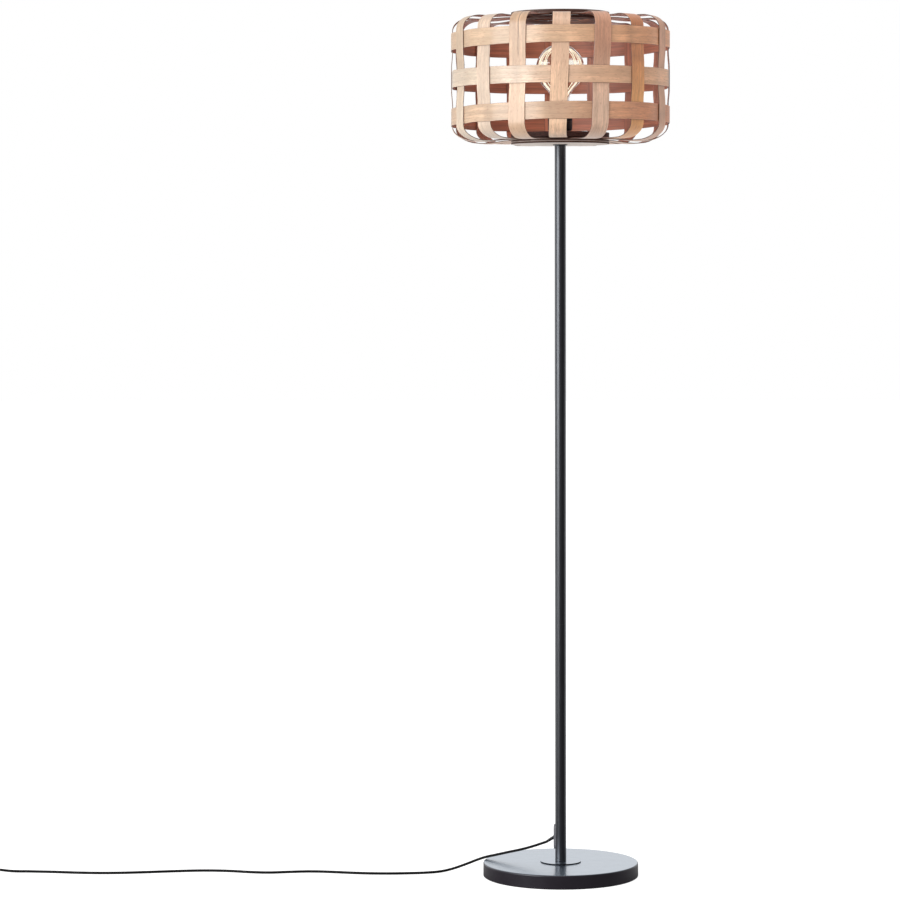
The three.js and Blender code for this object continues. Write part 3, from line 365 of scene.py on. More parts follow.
CANE_GRAIN = {
    "streak": Grain(9, 210, 9, 2, 0.5, 0.35, 0.65, 0.8, 0.74),
    "line": Grain(16, 620, 4, 2, 0.6, 0.5, 0.72, 0.7, 0.56),
    "fibre": Grain(26, 1500, 0, 3, 0.65, 0.42, 0.66, 0.35, 0.7),
    "mottle": Grain(70, 330, 2, 3, 0.6, 0.4, 0.7, 0.5, 0.66),
}


@dataclass(frozen=True)
class BambooFinish:
    """Shaved bamboo: a fibrous face, a redder inner side and dark cut edges, with painted light and
    shade: lit colours along the face, a pale highlight rim, darkened cut edges and a dark crack.
    """

    name: str  # the material's name
    face: Colour  # the colour of the outer face where the strip starts, with painted light and shade in it
    far: Colour  # its colour where the strip ends, with painted light and shade in it
    seed: float  # what sets one strip's grain apart from another's
    length: float  # the strip's length, in metres
    width: float  # the strip's width, in metres
    thickness: float  # the strip's thickness, in metres
    soft: float  # how far its corners are cut off
    split: Split | None = None  # a crack in the strip, if it has one
    inner: Colour = srgb(196, 116, 84)  # the colour of the inner face
    cut: Colour = srgb(112, 76, 58)  # the colour of the cut edges, darkened past their own colour as painted shade along the strips' edges
    blush: Colour = srgb(184, 118, 92)  # the colour of its mottling
    rim_highlight_reach: float = 0.0009  # how far the paler rim of the face, a painted highlight along its edges, reaches in
    joint_spacing: float = 0.31  # the distance between the cane's joints

    def material(self) -> bpy.types.Material:
        """Builds the material. Its UV runs along the strip and round its section, in metres."""
        surface = Surface(self.name)
        along, across, _ = surface.place("UV")
        layers: dict[str, Value] = {}
        marks: list[tuple[Value, float]] = []
        for name, layer in CANE_GRAIN.items():
            x, y = along * layer.along + self.seed, across * layer.across
            layers[name] = surface.noise(
                x, y, self.seed + layer.offset, layer.detail, layer.roughness
            )
            mask = layers[name].rises(layer.low, layer.high) * layer.share
            marks.append((mask, layer.brightness))
        streak, line, fibre = layers["streak"], layers["line"], layers["fibre"]
        patch = surface.noise(along * 22 + self.seed, across * 30, self.seed + 17, 2)
        fleck = surface.noise(along * 150, across * 900, self.seed + 5, 1).rises(0.56, 0.7)
        flat = self.width - 2 * self.soft
        rim = self.thickness + (2 * math.sqrt(2) - 2) * self.soft
        # The face's rim on both edges is painted paler: a painted highlight along the strip's edges.
        wear_and_rim_highlight = (1 - across.rises(0.0, self.rim_highlight_reach)) | across.rises(flat - self.rim_highlight_reach, flat)
        marks += [(self._joint(surface, along, across), 0.55), (wear_and_rim_highlight * 0.6, 1.25)]
        cloud = patch.rises(0.32, 0.68)
        face = self._face(surface, self.face, cloud, marks)
        # The face turns from its start colour to its end colour midway along: painted light and shade,
        # paler where more light falls.
        painted_light_shift = along.rises(0.36 * self.length, 0.64 * self.length)
        face = surface.mix(painted_light_shift, face, self._face(surface, self.far, cloud, marks))
        face = surface.mix(fleck * 0.35, face, tone(self.blush, 0.6))
        inner = surface.mix(streak.rises(0.3, 0.7), tone(self.inner, 0.75), tone(self.inner, 1.2))
        inner = surface.mix(line.rises(0.45, 0.65) * 0.5, inner, tone(self.inner, 0.6))
        # The cut edges and the cut-off corners take a dark brown: their own colour darkened as painted
        # shade that outlines each strip.
        cut = surface.mix(fibre.rises(0.35, 0.7), self.cut, tone(self.cut, 0.78))
        colour = surface.mix(across.rises(flat, flat + 0.0001), face, cut)
        colour = surface.mix(across.rises(flat + rim, flat + rim + 0.0001), colour, inner)
        last = 2 * flat + rim
        colour = surface.mix(across.rises(last, last + 0.0001), colour, cut)
        height = fibre * 0.4 + line * 0.5 + streak * 0.3
        if self.split:
            crack = self._crack(surface, along, across)
            # The crack is painted near black: painted shade inside the groove.
            colour = surface.mix(crack, colour, tone(self.face, 0.18))
            height = height - crack * 2
        return surface.finish(
            {
                "Base Color": colour,
                "Roughness": 0.44 + fibre * 0.14,
                "Specular IOR Level": 1.0,
                "Coat Weight": 0.5,
                "Coat Roughness": 0.5,
                "Normal": surface.bump(height, 0.0003, 0.5),
            }
        )

    def _face(
        self, surface: Surface, colour: Colour, cloud: Value, marks: Sequence[tuple[Value, float]]
    ) -> Operand:
        """Colours the outer face.

        Args:
            surface: The material it goes into.
            colour: Its plain colour.
            cloud: Where it is paler.
            marks: The masks of its streaks and marks, each with its brightness.

        Returns:
            The colour's socket.
        """
        face = surface.mix(cloud, tone(colour, 0.82), tone(colour, 1.14))
        for mask, brightness in marks:
            face = surface.mix(mask, face, tone(colour, brightness))
        return face

    def _joint(self, surface: Surface, along: Value, across: Value) -> Value:
        """Masks the joints of the cane, a broad dusky band with a fine dark line."""
        wobble = surface.noise(across * 120, self.seed, 3.0) * 0.006
        place = (along + wobble + self.seed * 0.037) % self.joint_spacing
        distance = abs(place - self.joint_spacing / 2)
        broad, fine = distance.rises(0.002, 0.014), distance.rises(0.0003, 0.0012)
        return (1 - broad) * 0.35 | (1 - fine) * 0.6

    def _crack(self, surface: Surface, along: Value, across: Value) -> Value:
        """Masks the crack, which wanders a little and closes towards its ends."""
        wander = surface.noise(along * 30, self.seed, 8.0) * 0.0012 - 0.0006
        off = abs(across - self.split.across * self.width + wander)
        start, end = self.split.start * self.length, self.split.end * self.length
        inside = along.rises(start, start + 0.012) * (1 - along.rises(end - 0.012, end))
        return (1 - off.rises(0.0003, 0.0008)) * inside


@dataclass(frozen=True)
class BoardFinish:
    """Thin board with a grained face and a darker edge."""

    name: str  # the material's name
    face: Colour  # the colour of the flat sides
    edge: Colour  # the colour of the round edge
    radius: float  # the board's radius, in metres
    seam: float | None = None  # the height of the pale line between the edge's two plies, if it shows one

    def material(self) -> bpy.types.Material:
        """Builds the material, with its grain along X."""
        surface = Surface(self.name)
        x, y, z = surface.place("Object")
        grain = surface.grain(30, 700, 700, 3, 0.6)
        cloud = surface.grain(18, 26, 10)
        face = surface.mix(cloud.rises(0.3, 0.7), tone(self.face, 0.9), tone(self.face, 1.06))
        face = surface.mix(grain.rises(0.45, 0.7) * 0.5, face, tone(self.face, 0.72))
        edge = surface.mix(grain.rises(0.4, 0.65), tone(self.edge, 1.25), tone(self.edge, 0.7))
        if self.seam is not None:
            off = abs(z - self.seam).rises(0.0003, 0.0006)
            edge = surface.mix(off, tone(self.face, 0.62), edge)
        out = (x * x + y * y) ** 0.5
        colour = surface.mix(out.rises(self.radius - 0.0006, self.radius - 0.0002), face, edge)
        return surface.finish(
            {
                "Base Color": colour,
                "Roughness": 0.55 + grain * 0.2,
                "Normal": surface.bump(grain, 0.00015, 0.5),
            }
        )


@dataclass(frozen=True)
class PaintFinish:
    """Paint or moulded plastic: one colour with a fine grain, and where asked a pale bluish colour on
    level faces that paints the surround's reflection.
    """

    name: str  # the material's name
    colour: Colour  # the colour
    roughness: float  # how dull it is
    grain: float = 0.00002  # how far its finest bumps stand out, in metres
    grain_size: float = 0.0006  # how wide those bumps are, in metres
    specular: float = 0.5  # how strongly it reflects
    wear: float = 0.25  # how much lighter its worn patches are, as a share
    gloss_and_painted_reflection: float = 0.0  # how glossy level faces are, and how much of the painted reflection colour they take
    tint: Colour = (1.0, 1.0, 1.0)  # the tint of what it reflects
    bare: Colour = (0.21, 0.27, 0.34)  # the pale bluish colour of level faces, a painted reflection of the white surround
    glow: float = 0.0  # how brightly it glows; on the unlit filament this glow is a painted highlight

    def material(self) -> bpy.types.Material:
        """Builds the material."""
        surface = Surface(self.name)
        cells = 1 / self.grain_size
        fine = surface.grain(cells, cells, cells)
        broad = surface.grain(40, 40, 40, 3, 0.55)
        wear_and_rim_highlight = tone(self.colour, 1 + self.wear)
        colour = surface.mix(broad.rises(0.35, 0.75), self.colour, wear_and_rim_highlight)
        inputs = {
            "Base Color": colour,
            "Roughness": self.roughness + (broad - 0.5) * 0.1,
            "IOR": 1.6,
            "Specular IOR Level": self.specular,
            "Specular Tint": self.tint,
            "Normal": surface.bump(fine, self.grain, 0.6),
        }
        if self.gloss_and_painted_reflection:
            # Level faces turn a pale bluish metal under a coat: a painted reflection of the white
            # surround, which the sides don't get.
            level = surface.place("Normal")[2].rises(0.8, 0.99)
            inputs |= {
                "Base Color": surface.mix(level * self.gloss_and_painted_reflection, colour, self.bare),
                "Metallic": level * self.gloss_and_painted_reflection,
                "Coat Weight": level * (self.gloss_and_painted_reflection * 0.9 + broad * 0.2),
                "Coat Roughness": 0.18,
                "Coat IOR": 1.6,
            }
        if self.glow:
            inputs |= {"Emission Color": self.colour, "Emission Strength": self.glow}
        return surface.finish(inputs)


@dataclass(frozen=True)
class MetalFinish:
    """Bare metal with fine drawn lines round the axis."""

    name: str  # the material's name
    colour: Colour  # the metal's colour
    roughness: float  # how dull it is

    def material(self) -> bpy.types.Material:
        """Builds the material."""
        surface = Surface(self.name)
        lines = surface.grain(60, 60, 2400)
        tarnish = surface.grain(90, 90, 90, 3)
        colour = surface.mix(tarnish.rises(0.4, 0.75), self.colour, tone(self.colour, 0.75))
        return surface.finish(
            {
                "Base Color": colour,
                "Metallic": 1,
                "Roughness": self.roughness + lines * 0.12,
                "Normal": surface.bump(lines, 0.00002, 0.4),
            }
        )


@dataclass(frozen=True)
class FeltFinish:
    """Pressed felt."""

    name: str  # the material's name
    colour: Colour  # the colour

    def material(self) -> bpy.types.Material:
        """Builds the material."""
        surface = Surface(self.name)
        nap = surface.grain(2200, 2200, 2200, 4, 0.7)
        colour = surface.mix(nap.rises(0.35, 0.7), tone(self.colour, 0.7), tone(self.colour, 1.5))
        return surface.finish(
            {"Base Color": colour, "Roughness": 0.95, "Normal": surface.bump(nap, 0.0003, 0.8)}
        )


@dataclass(frozen=True)
class GlassFinish:
    """Clear glass."""

    name: str  # the material's name
    colour: Colour  # the glass's tint

    def material(self) -> bpy.types.Material:
        """Builds the material, with the faint ripple of blown glass."""
        surface = Surface(self.name)
        ripple = surface.grain(40, 40, 60, 1)
        return surface.finish(
            {
                "Base Color": self.colour,
                "Roughness": 0.0,
                "IOR": 1.5,
                "Transmission Weight": 1,
                "Normal": surface.bump(ripple, 0.0004, 0.15),
            }
        )


@dataclass(frozen=True)
class Look:
    """A finish, with the name of the slot that it belongs to."""

    material: bpy.types.Material  # the finish
    slot: str  # the slot


class Finishes:
    """The looks that several pieces share, each built once."""

    def __init__(self) -> None:
        """Builds them."""
        # side is the black paint made lighter for the base, a lit copy of it as painted light; the
        # collar's copy reflects less so that its rim shows as a painted shadow line under it.
        black, side = srgb(14, 10, 16), srgb(32, 26, 33)
        coat = {"grain": 0.000008, "wear": 0.1, "tint": (0.88, 0.93, 1.0)}
        shiny = {**coat, "gloss_and_painted_reflection": 1.0}
        self.paint = self._paint("black_paint", "", black, 0.36, specular=1.0, **coat)
        self.base_with_painted_reflection = self._paint(
            "black_paint", "base_paint", side, 0.32, specular=0.5, **shiny
        )
        self.collar = self._paint(
            "black_paint", "collar_paint", black, 0.32, specular=0.1, **shiny
        )
        self.plastic = self._paint("black_plastic", "", srgb(26, 25, 28), 0.45, specular=0.25)
        self.grey = self._paint("grey_plastic", "", srgb(96, 96, 100), 0.45, specular=0.4)
        flex, strap = srgb(12, 12, 13), srgb(22, 22, 24)
        self.flex = self._paint("cord", "cord_black", flex, 0.55, grain=0.00004, specular=0.12)
        self.tie = self._paint(
            "black_plastic", "tie_black", strap, 0.7, grain=0.0001, specular=0.2
        )
        rough = {"grain": 0.0003, "grain_size": 0.002}
        self.iron = self._paint("iron", "cast_iron", srgb(88, 86, 84), 0.75, **rough)
        self.ceramic = self._paint("ceramic", "", srgb(226, 220, 208), 0.25, wear=0.02)
        # The filament's glow is a painted highlight: the bulb is not lit.
        self.filament = self._paint("filament", "", srgb(255, 244, 222), 0.6, wear=0.0, glow=1.0)
        steel = MetalFinish("plated_steel", srgb(196, 194, 190), 0.24)
        self.steel = Look(steel.material(), "steel")
        self.brass = Look(MetalFinish("brass", srgb(206, 170, 104), 0.28).material(), "brass")
        self.felt = Look(FeltFinish("felt", srgb(40, 39, 41)).material(), "felt")
        self.glass = Look(GlassFinish("clear_glass", (1.0, 0.98, 0.93)).material(), "clear_glass")

    def _paint(
        self, slot: str, name: str, colour: Colour, roughness: float, **more: Any
    ) -> Look:
        """Builds a look of paint.

        Args:
            slot: The slot that it belongs to.
            name: The material's name, if it isn't the slot's.
            colour: The colour.
            roughness: How dull it is.
            more: More of the paint's fields.

        Returns:
            The look.
        """
        return Look(PaintFinish(name or slot, colour, roughness, **more).material(), slot)


# Meshes


@dataclass
class Workshop:
    """Makes meshes and sets pieces in place."""

    looks: Finishes  # the shared looks
    hold: float = 0.0004  # how near the ends of a long straight reach its extra points lie
    crease: float = 32.0  # the least angle of an edge that stays sharp, in degrees
    nothing: float = 1e-7  # the radius up to which a point counts as lying on the axis

    def skin(
        self,
        name: str,
        rings: Sequence[Sequence[Vector]],
        looped: bool = False,
        unwrap: tuple[Sequence[float], Sequence[float]] | None = None,
    ) -> bpy.types.Object:
        """Joins rings of points into one closed piece.

        Args:
            name: The piece's name.
            rings: The rings, each with the same number of points.
            looped: Whether the last ring joins the first. Open ends get flat caps.
            unwrap: The UV places along the rings and round each ring, each with one more
                entry where it closes on itself.

        Returns:
            The piece.
        """
        sides = len(rings[0])
        count = len(rings)
        points = [point for ring in rings for point in ring]
        faces: list[tuple[int, ...]] = []
        places: list[Point] = []
        for s in range(count if looped else count - 1):
            for k in range(sides):
                corners = ((s, k), (s, k + 1), (s + 1, k + 1), (s + 1, k))
                faces.append(tuple(i % count * sides + j % sides for i, j in corners))
                if unwrap:
                    places.extend((unwrap[0][i], unwrap[1][j]) for i, j in corners)
        if not looped:
            for s, order in ((0, range(sides - 1, -1, -1)), (count - 1, range(sides))):
                faces.append(tuple(s * sides + k for k in order))
                if unwrap:
                    places.extend((unwrap[0][s], unwrap[1][k]) for k in order)
        mesh = bpy.data.meshes.new(name)
        mesh.from_pydata(points, [], faces)
        if unwrap:
            layer = mesh.uv_layers.new(name="UVMap")
            layer.data.foreach_set("uv", [part for place in places for part in place])
        return self._object(name, mesh)

    def turned(
        self, name: str, outline: Sequence[Point], sides: int = 96, ripple: Ripple | None = None
    ) -> bpy.types.Object:
        """Turns an outline about Z.

        Args:
            name: The piece's name.
            outline: Points of radius and height. It closes on itself unless it starts and
                ends on the axis.
            sides: How many steps the turn has.
            ripple: What changes the radius with the turn, such as ribs.

        Returns:
            The piece.
        """
        closed = outline[0][0] > self.nothing
        points: list[Vector] = []
        rows: list[list[int]] = []
        held = self._held([*outline, outline[0]] if closed else outline)
        count = len(held) - 1
        for radius, height in held:
            steps = sides if radius > self.nothing else 1
            if closed and len(rows) == count:
                rows.append(rows[0])
                break
            rows.append([len(points) + k % steps for k in range(sides + 1)])
            for k in range(steps):
                turn = 2 * math.pi * k / sides
                reach = ripple(radius, height, turn) if ripple else radius
                points.append(Vector((reach * math.cos(turn), reach * math.sin(turn), height)))
        faces = []
        for low, high in zip(rows, rows[1:]):
            for k in range(sides):
                face = dict.fromkeys((low[k], low[k + 1], high[k + 1], high[k]))
                if len(face) > 2:
                    faces.append(tuple(face))
        mesh = bpy.data.meshes.new(name)
        mesh.from_pydata(points, [], faces)
        return self._object(name, mesh)

    def _held(self, outline: Sequence[Point]) -> list[Point]:
        """Adds points near both ends of an outline's long reaches, so that they look straight."""
        points = [outline[0]]
        for start, end in zip(outline, outline[1:]):
            share = self.hold / max(math.dist(start, end), self.hold)
            if share < 0.2:
                for part in (share, 1 - share):
                    points.append(tuple(lerp(a, b, part) for a, b in zip(start, end)))
            points.append(end)
        return points

    def wire(
        self, name: str, points: Sequence[Vector], radius: float, fineness: int = 6
    ) -> bpy.types.Object:
        """Lays a round wire along a smooth curve through points.

        Args:
            name: The piece's name.
            points: The curve's points.
            radius: The wire's radius.
            fineness: How many steps lie between two points.

        Returns:
            The piece.
        """
        curve = bpy.data.curves.new(name, "CURVE")
        curve.dimensions = "3D"
        curve.bevel_depth = radius
        curve.bevel_resolution = 4
        curve.use_fill_caps = True
        curve.resolution_u = fineness
        spline = curve.splines.new("BEZIER")
        spline.bezier_points.add(len(points) - 1)
        for knot, point in zip(spline.bezier_points, points):
            knot.co = point
            knot.handle_left_type = knot.handle_right_type = "AUTO"
        piece = bpy.data.objects.new(name, curve)
        bpy.context.scene.collection.objects.link(piece)
        return piece

    def _object(self, name: str, mesh: bpy.types.Mesh) -> bpy.types.Object:
        """Makes an object of a mesh, with its faces turned outwards."""
        mesh.validate()
        piece = bpy.data.objects.new(name, mesh)
        bpy.context.scene.collection.objects.link(piece)
        self._face_outwards(mesh)
        mesh.shade_smooth()
        mesh.set_sharp_from_angle(angle=math.radians(self.crease))
        return piece

    def _face_outwards(self, mesh: bpy.types.Mesh) -> None:
        """Turns every face round if the mesh's volume comes out negative."""
        volume = 0.0
        for face in mesh.polygons:
            corners = [mesh.vertices[i].co for i in face.vertices]
            for second, third in zip(corners[1:], corners[2:]):
                volume += corners[0].dot(second.cross(third))
        if volume < 0:
            mesh.flip_normals()

    def cut(self, piece: bpy.types.Object, *tools: bpy.types.Object) -> None:
        """Cuts pieces out of a piece, and takes the cutters away.

        Args:
            piece: What is cut.
            tools: What is cut out of it.
        """
        for tool in tools:
            modifier = piece.modifiers.new("cut", "BOOLEAN")
            modifier.operation = "DIFFERENCE"
            modifier.solver = "EXACT"
            modifier.object = tool
        whole = piece.evaluated_get(bpy.context.evaluated_depsgraph_get())
        mesh = bpy.data.meshes.new_from_object(whole)
        piece.modifiers.clear()
        piece.data = mesh
        mesh.set_sharp_from_angle(angle=math.radians(self.crease))
        for tool in tools:
            bpy.data.objects.remove(tool)

    def set_in(
        self,
        piece: bpy.types.Object,
        look: Look,
        node: str = "",
        body: Body = Body.LAMP,
    ) -> bpy.types.Object:
        """Finishes a piece and sets it on its body.

        Args:
            piece: The piece.
            look: Its look.
            node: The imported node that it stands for, if there is one.
            body: The body that it rides on.

        Returns:
            The piece.
        """
        piece.data.materials.clear()
        piece.data.materials.append(look.material)
        if node:
            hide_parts(node)
        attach(piece, body.value)
        LOG.info("%s rides on %s", piece.name, body.value)
        return piece

    def hoop(
        self, name: str, node: str, bore: float, soft: float, sides: int, look: Look
    ) -> None:
        """Builds a ring with softened edges in the place of a packed one.

        Args:
            name: The piece's name.
            node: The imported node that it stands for, which gives its height and rim.
            bore: Its inner radius.
            soft: The radius of its edges.
            sides: How many steps its turn has.
            look: Its look.
        """
        low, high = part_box(node)
        outline = [
            *fillet((bore, low.z), soft, 180, 3),
            *fillet((high.x, low.z), soft, 270, 3),
            *fillet((high.x, high.z), soft, 0, 3),
            *fillet((bore, high.z), soft, 90, 3),
        ]
        self.set_in(self.turned(name, outline, sides), look, node)

    def keep(self, look: Look, *nodes: str) -> None:
        """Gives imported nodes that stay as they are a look.

        Args:
            look: The look.
            nodes: The nodes' names.
        """
        for name in nodes:
            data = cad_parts[name].data
            data.materials.clear()
            data.materials.append(look.material)
            LOG.info("%s keeps its packed shape", name)


# What changes a turned piece's radius: a function of radius, height and turn.
Ripple = Callable[[float, float, float], float]


def arc(centre: Point, radius: float, start: float, end: float, steps: int) -> list[Point]:
    """Gives the points of an arc.

    Args:
        centre: Its centre, in radius and height.
        radius: Its radius.
        start: The turn at which it starts, in degrees.
        end: The turn at which it ends.
        steps: How many steps it has.

    Returns:
        Its points, ends included.
    """
    turns = [math.radians(lerp(start, end, k / steps)) for k in range(steps + 1)]
    return [(centre[0] + radius * math.cos(t), centre[1] + radius * math.sin(t)) for t in turns]


def fillet(corner: Point, radius: float, start: int, steps: int) -> list[Point]:
    """Rounds a square corner of an outline.

    Args:
        corner: The corner, in radius and height.
        radius: The radius of the rounding.
        start: The turn at which it starts: 0 for a corner out and up, 90 for one in and up,
            180 for one in and down, and 270 for one out and down.
        steps: How many steps it has.

    Returns:
        Its points, ends included.
    """
    inward = -radius if start in (0, 270) else radius
    down = -radius if start in (0, 90) else radius
    return arc((corner[0] + inward, corner[1] + down), radius, start, start + 90, steps)


def rounding(edge: float, steps: int) -> list[Point]:
    """Gives a rounded edge as pairs of depth below the crown and inset from the side.

    Args:
        edge: The edge's radius.
        steps: How many steps it has.

    Returns:
        The pairs, from the side up to the crown.
    """
    turns = [math.radians(90 * k / steps) for k in range(steps + 1)]
    return [(edge * (1 - math.sin(turn)), edge * (1 - math.cos(turn))) for turn in turns]


def bezier(knots: Sequence[Vector], share: float) -> Vector:
    """Gives a point of a curve.

    Args:
        knots: Its start, its two handles and its end.
        share: How far along the curve the point lies, from 0 to 1.

    Returns:
        The point.
    """
    start, first, second, end = knots
    rest = 1 - share
    return (
        start * rest**3
        + first * (3 * share * rest**2)
        + second * (3 * share**2 * rest)
        + end * share**3
    )


def round_section(
    centre: Vector, direction: Vector, a: float, b: float, sides: int = 24, squareness: float = 2
) -> list[Vector]:
    """Gives the points of a section across a direction.

    Args:
        centre: Its centre.
        direction: The way that it faces.
        a: Its half width, level.
        b: Its half height.
        sides: How many points it has.
        squareness: 2 for a circle or an oval, and more for a squarer form.

    Returns:
        The points.
    """
    across = Vector((-direction.y, direction.x, 0)).normalized()
    up = direction.cross(across).normalized()
    points = []
    for k in range(sides):
        turn = 2 * math.pi * (k + 0.5) / sides
        x, y = math.cos(turn), math.sin(turn)
        x = math.copysign(abs(x) ** (2 / squareness), x)
        y = math.copysign(abs(y) ** (2 / squareness), y)
        points.append(centre + across * (a * x) + up * (b * y))
    return points


@dataclass(frozen=True)
class Taper:
    """A tapered sleeve round a cord, with grooves moulded round it."""

    root: Vector  # the centre of its first section
    reach: Vector  # the way to the centre of its last one
    radii: Point  # its radius at its start and at its end
    steps: int  # how many steps it has
    grooved: range  # the steps between which its grooves lie
    period: int  # how many steps lie from one groove to the next
    depth: float  # how deep the grooves are
    sides: int = 24  # how many points each section has

    def rings(self) -> list[list[Vector]]:
        """Gives its sections, each groove two steps wide."""
        rings = []
        for k in range(self.steps + 1):
            share = k / self.steps
            is_groove = k in self.grooved and k % self.period in (3, 4)
            radius = lerp(*self.radii, share) - (self.depth if is_groove else 0)
            place = self.root + self.reach * share
            way = self.reach.normalized()
            rings.append(round_section(place, way, radius, radius, self.sides))
        return rings


def stadium(
    centre: Vector, length: float, width: float, inset: float, steps: int = 12
) -> list[Vector]:
    """Gives the points of a level outline with round ends along X.

    Args:
        centre: Its centre.
        length: Its full length.
        width: Its full width.
        inset: How far its points are drawn in all round.
        steps: How many steps each end has.

    Returns:
        The points.
    """
    points = []
    for side in (1, -1):
        for k in range(steps + 1):
            turn = math.radians(90) * (1 - side) + math.pi * (k / steps - 0.5)
            reach = width / 2 - inset
            x = side * (length - width) / 2 + reach * math.cos(turn)
            points.append(centre + Vector((x, reach * math.sin(turn), 0)))
    return points


# The camera and the studio


@dataclass(frozen=True)
class Viewpoint:
    """The camera."""

    eye: tuple[float, float, float] = (0.0, -5.3284, 0.9812)  # where it stands
    yaw: float = 0.03359  # how far it looks to the left of +Y, in radians
    pitch: float = 0.05353  # how far it looks down
    roll: float = -0.0025  # how far it leans
    lens: float = 131.64  # its focal length, in millimetres on a 36 mm sensor

    def build(self) -> None:
        """Makes the camera and hands it to the scene."""
        forward = Vector(
            (
                -math.sin(self.yaw) * math.cos(self.pitch),
                math.cos(self.yaw) * math.cos(self.pitch),
                -math.sin(self.pitch),
            )
        )
        level = Vector((math.cos(self.yaw), math.sin(self.yaw), 0))
        upright = level.cross(forward)
        right = level * math.cos(self.roll) + upright * math.sin(self.roll)
        up = upright * math.cos(self.roll) - level * math.sin(self.roll)
        data = bpy.data.cameras.new("camera")
        data.lens = self.lens
        data.sensor_width = 36
        data.clip_end = 100
        camera = bpy.data.objects.new("camera", data)
        camera.matrix_world = Matrix.Translation(self.eye) @ Matrix(
            (right, up, -forward)
        ).transposed().to_4x4()
        bpy.context.scene.collection.objects.link(camera)
        bpy.context.scene.camera = camera


@dataclass(frozen=True)
class SoftLight:
    """A flat studio light."""

    name: str  # its name
    place: tuple[float, float, float]  # where it hangs
    aim: tuple[float, float, float]  # what it points at
    width: float  # its width
    height: float  # its height
    power: float  # its power, in watts

    def build(self) -> None:
        """Hangs the light."""
        data = bpy.data.lights.new(self.name, "AREA")
        data.shape = "RECTANGLE"
        data.size = self.width
        data.size_y = self.height
        data.energy = self.power
        light = bpy.data.objects.new(self.name, data)
        place = Vector(self.place)
        way = Vector(self.aim) - place
        turned = way.to_track_quat("-Z", "Y").to_matrix().to_4x4()
        light.matrix_world = Matrix.Translation(place) @ turned
        bpy.context.scene.collection.objects.link(light)


@dataclass
class Studio:
    """A pale floor, a white surround and soft lights."""

    floor_size: float = 40.0  # the floor's side
    floor_grey: float = 0.5  # how pale the floor is
    floor_dim: float = 0.88  # how much darker its front side looks in reflections
    floor_lift: float = 0.8  # how much white the floor adds for the camera
    floor_bounce: float = 0.3  # how much white it adds to what it lights
    ambience: float = 0.5  # how strongly the surround lights the object
    # How bright the studio's front side, where nothing white stands, looks in reflections.
    front: float = 0.2
    right: float = 0.6  # how much dimmer its right side looks in them
    fill: float = 1.0  # how much more the right side of the surround lights the object
    # The two Y, in metres, between which the floor's front turns to its back.
    floor_back: Point = (-0.2, 0.6)
    back: Point = (-0.4, 0.5)  # the same for the surround, as the Y of its direction
    dimmed: Point = (0.2, 0.9)  # the two X of its direction between which it grows dimmer in reflections
    filled: Point = (-0.2, 1.0)  # the two X between which it grows brighter for what it lights
    # The lights, each with its place, aim, width, height and power.
    lights: tuple[SoftLight, ...] = (
        SoftLight("key_light", (-3.2, -2.6, 1.8), (0, 0, 1.25), 3.2, 2.8, 165),
        SoftLight("top_light", (-0.2, -1.4, 3.6), (0, 0, 0.9), 1.8, 1.8, 24),
    )

    def build(self) -> None:
        """Builds the floor, the surround and the lights."""
        bpy.context.scene.view_settings.view_transform = "Standard"
        half = self.floor_size / 2
        mesh = bpy.data.meshes.new("floor")
        corners = [(-half, -half, 0), (half, -half, 0), (half, half, 0), (-half, half, 0)]
        mesh.from_pydata(corners, [], [(0, 1, 2, 3)])
        floor = bpy.data.objects.new("floor", mesh)
        bpy.context.scene.collection.objects.link(floor)
        floor.data.materials.append(self._floor_material())
        self._surround()
        for light in self.lights:
            light.build()

    def _seen(self, shader: Shader, reflected: Operand) -> Value:
        """Masks the rays of the camera and of clear glass, and a share of reflected ones."""
        path = shader.node("ShaderNodeLightPath")
        seen = Value(shader, path.outputs["Is Camera Ray"])
        mirrored = Value(shader, path.outputs["Is Glossy Ray"]) * reflected
        return seen | Value(shader, path.outputs["Is Transmission Ray"]) | mirrored

    def _floor_material(self) -> bpy.types.Material:
        """Builds a matt floor that looks white and still keeps a shadow."""
        material = bpy.data.materials.new("floor")
        material.use_nodes = True
        shader = Shader(material.node_tree)
        behind = shader.place("Object")[1].rises(*self.floor_back)
        seen = self._seen(shader, behind)
        path = shader.node("ShaderNodeLightPath")
        mirrored = Value(shader, path.outputs["Is Glossy Ray"]) * (1 - behind)
        grey = (1 - mirrored * self.floor_dim) * self.floor_grey
        matt = shader.node("ShaderNodeBsdfDiffuse", inputs={"Color": grey})
        bounce = Value(shader, path.outputs["Is Diffuse Ray"]) * self.floor_bounce
        lift = shader.node(
            "ShaderNodeEmission", inputs={"Strength": seen * self.floor_lift + bounce}
        )
        both = shader.node("ShaderNodeAddShader", inputs={0: matt.outputs[0], 1: lift.outputs[0]})
        shader.node("ShaderNodeOutputMaterial", inputs={"Surface": both.outputs[0]})
        return material

    def _surround(self) -> None:
        """Builds a surround that looks white and lights the object softly."""
        world = bpy.data.worlds.new("surround")
        bpy.context.scene.world = world
        world.use_nodes = True
        shader = Shader(world.node_tree)
        x, y, _ = shader.place("Generated")
        mirrored = y.rises(*self.back) * (1 - self.front) + self.front
        seen = self._seen(shader, mirrored * (1 - x.rises(*self.dimmed) * self.right))
        ambience = (x.rises(*self.filled) * self.fill + 1) * self.ambience
        strength = seen | (1 - seen.rises(0.0, 0.01)) * ambience
        sky = shader.node(
            "ShaderNodeBackground", inputs={"Color": (1.0, 1.0, 1.0), "Strength": strength}
        )
        shader.node("ShaderNodeOutputWorld", inputs={"Surface": sky.outputs[0]})


# The lamp


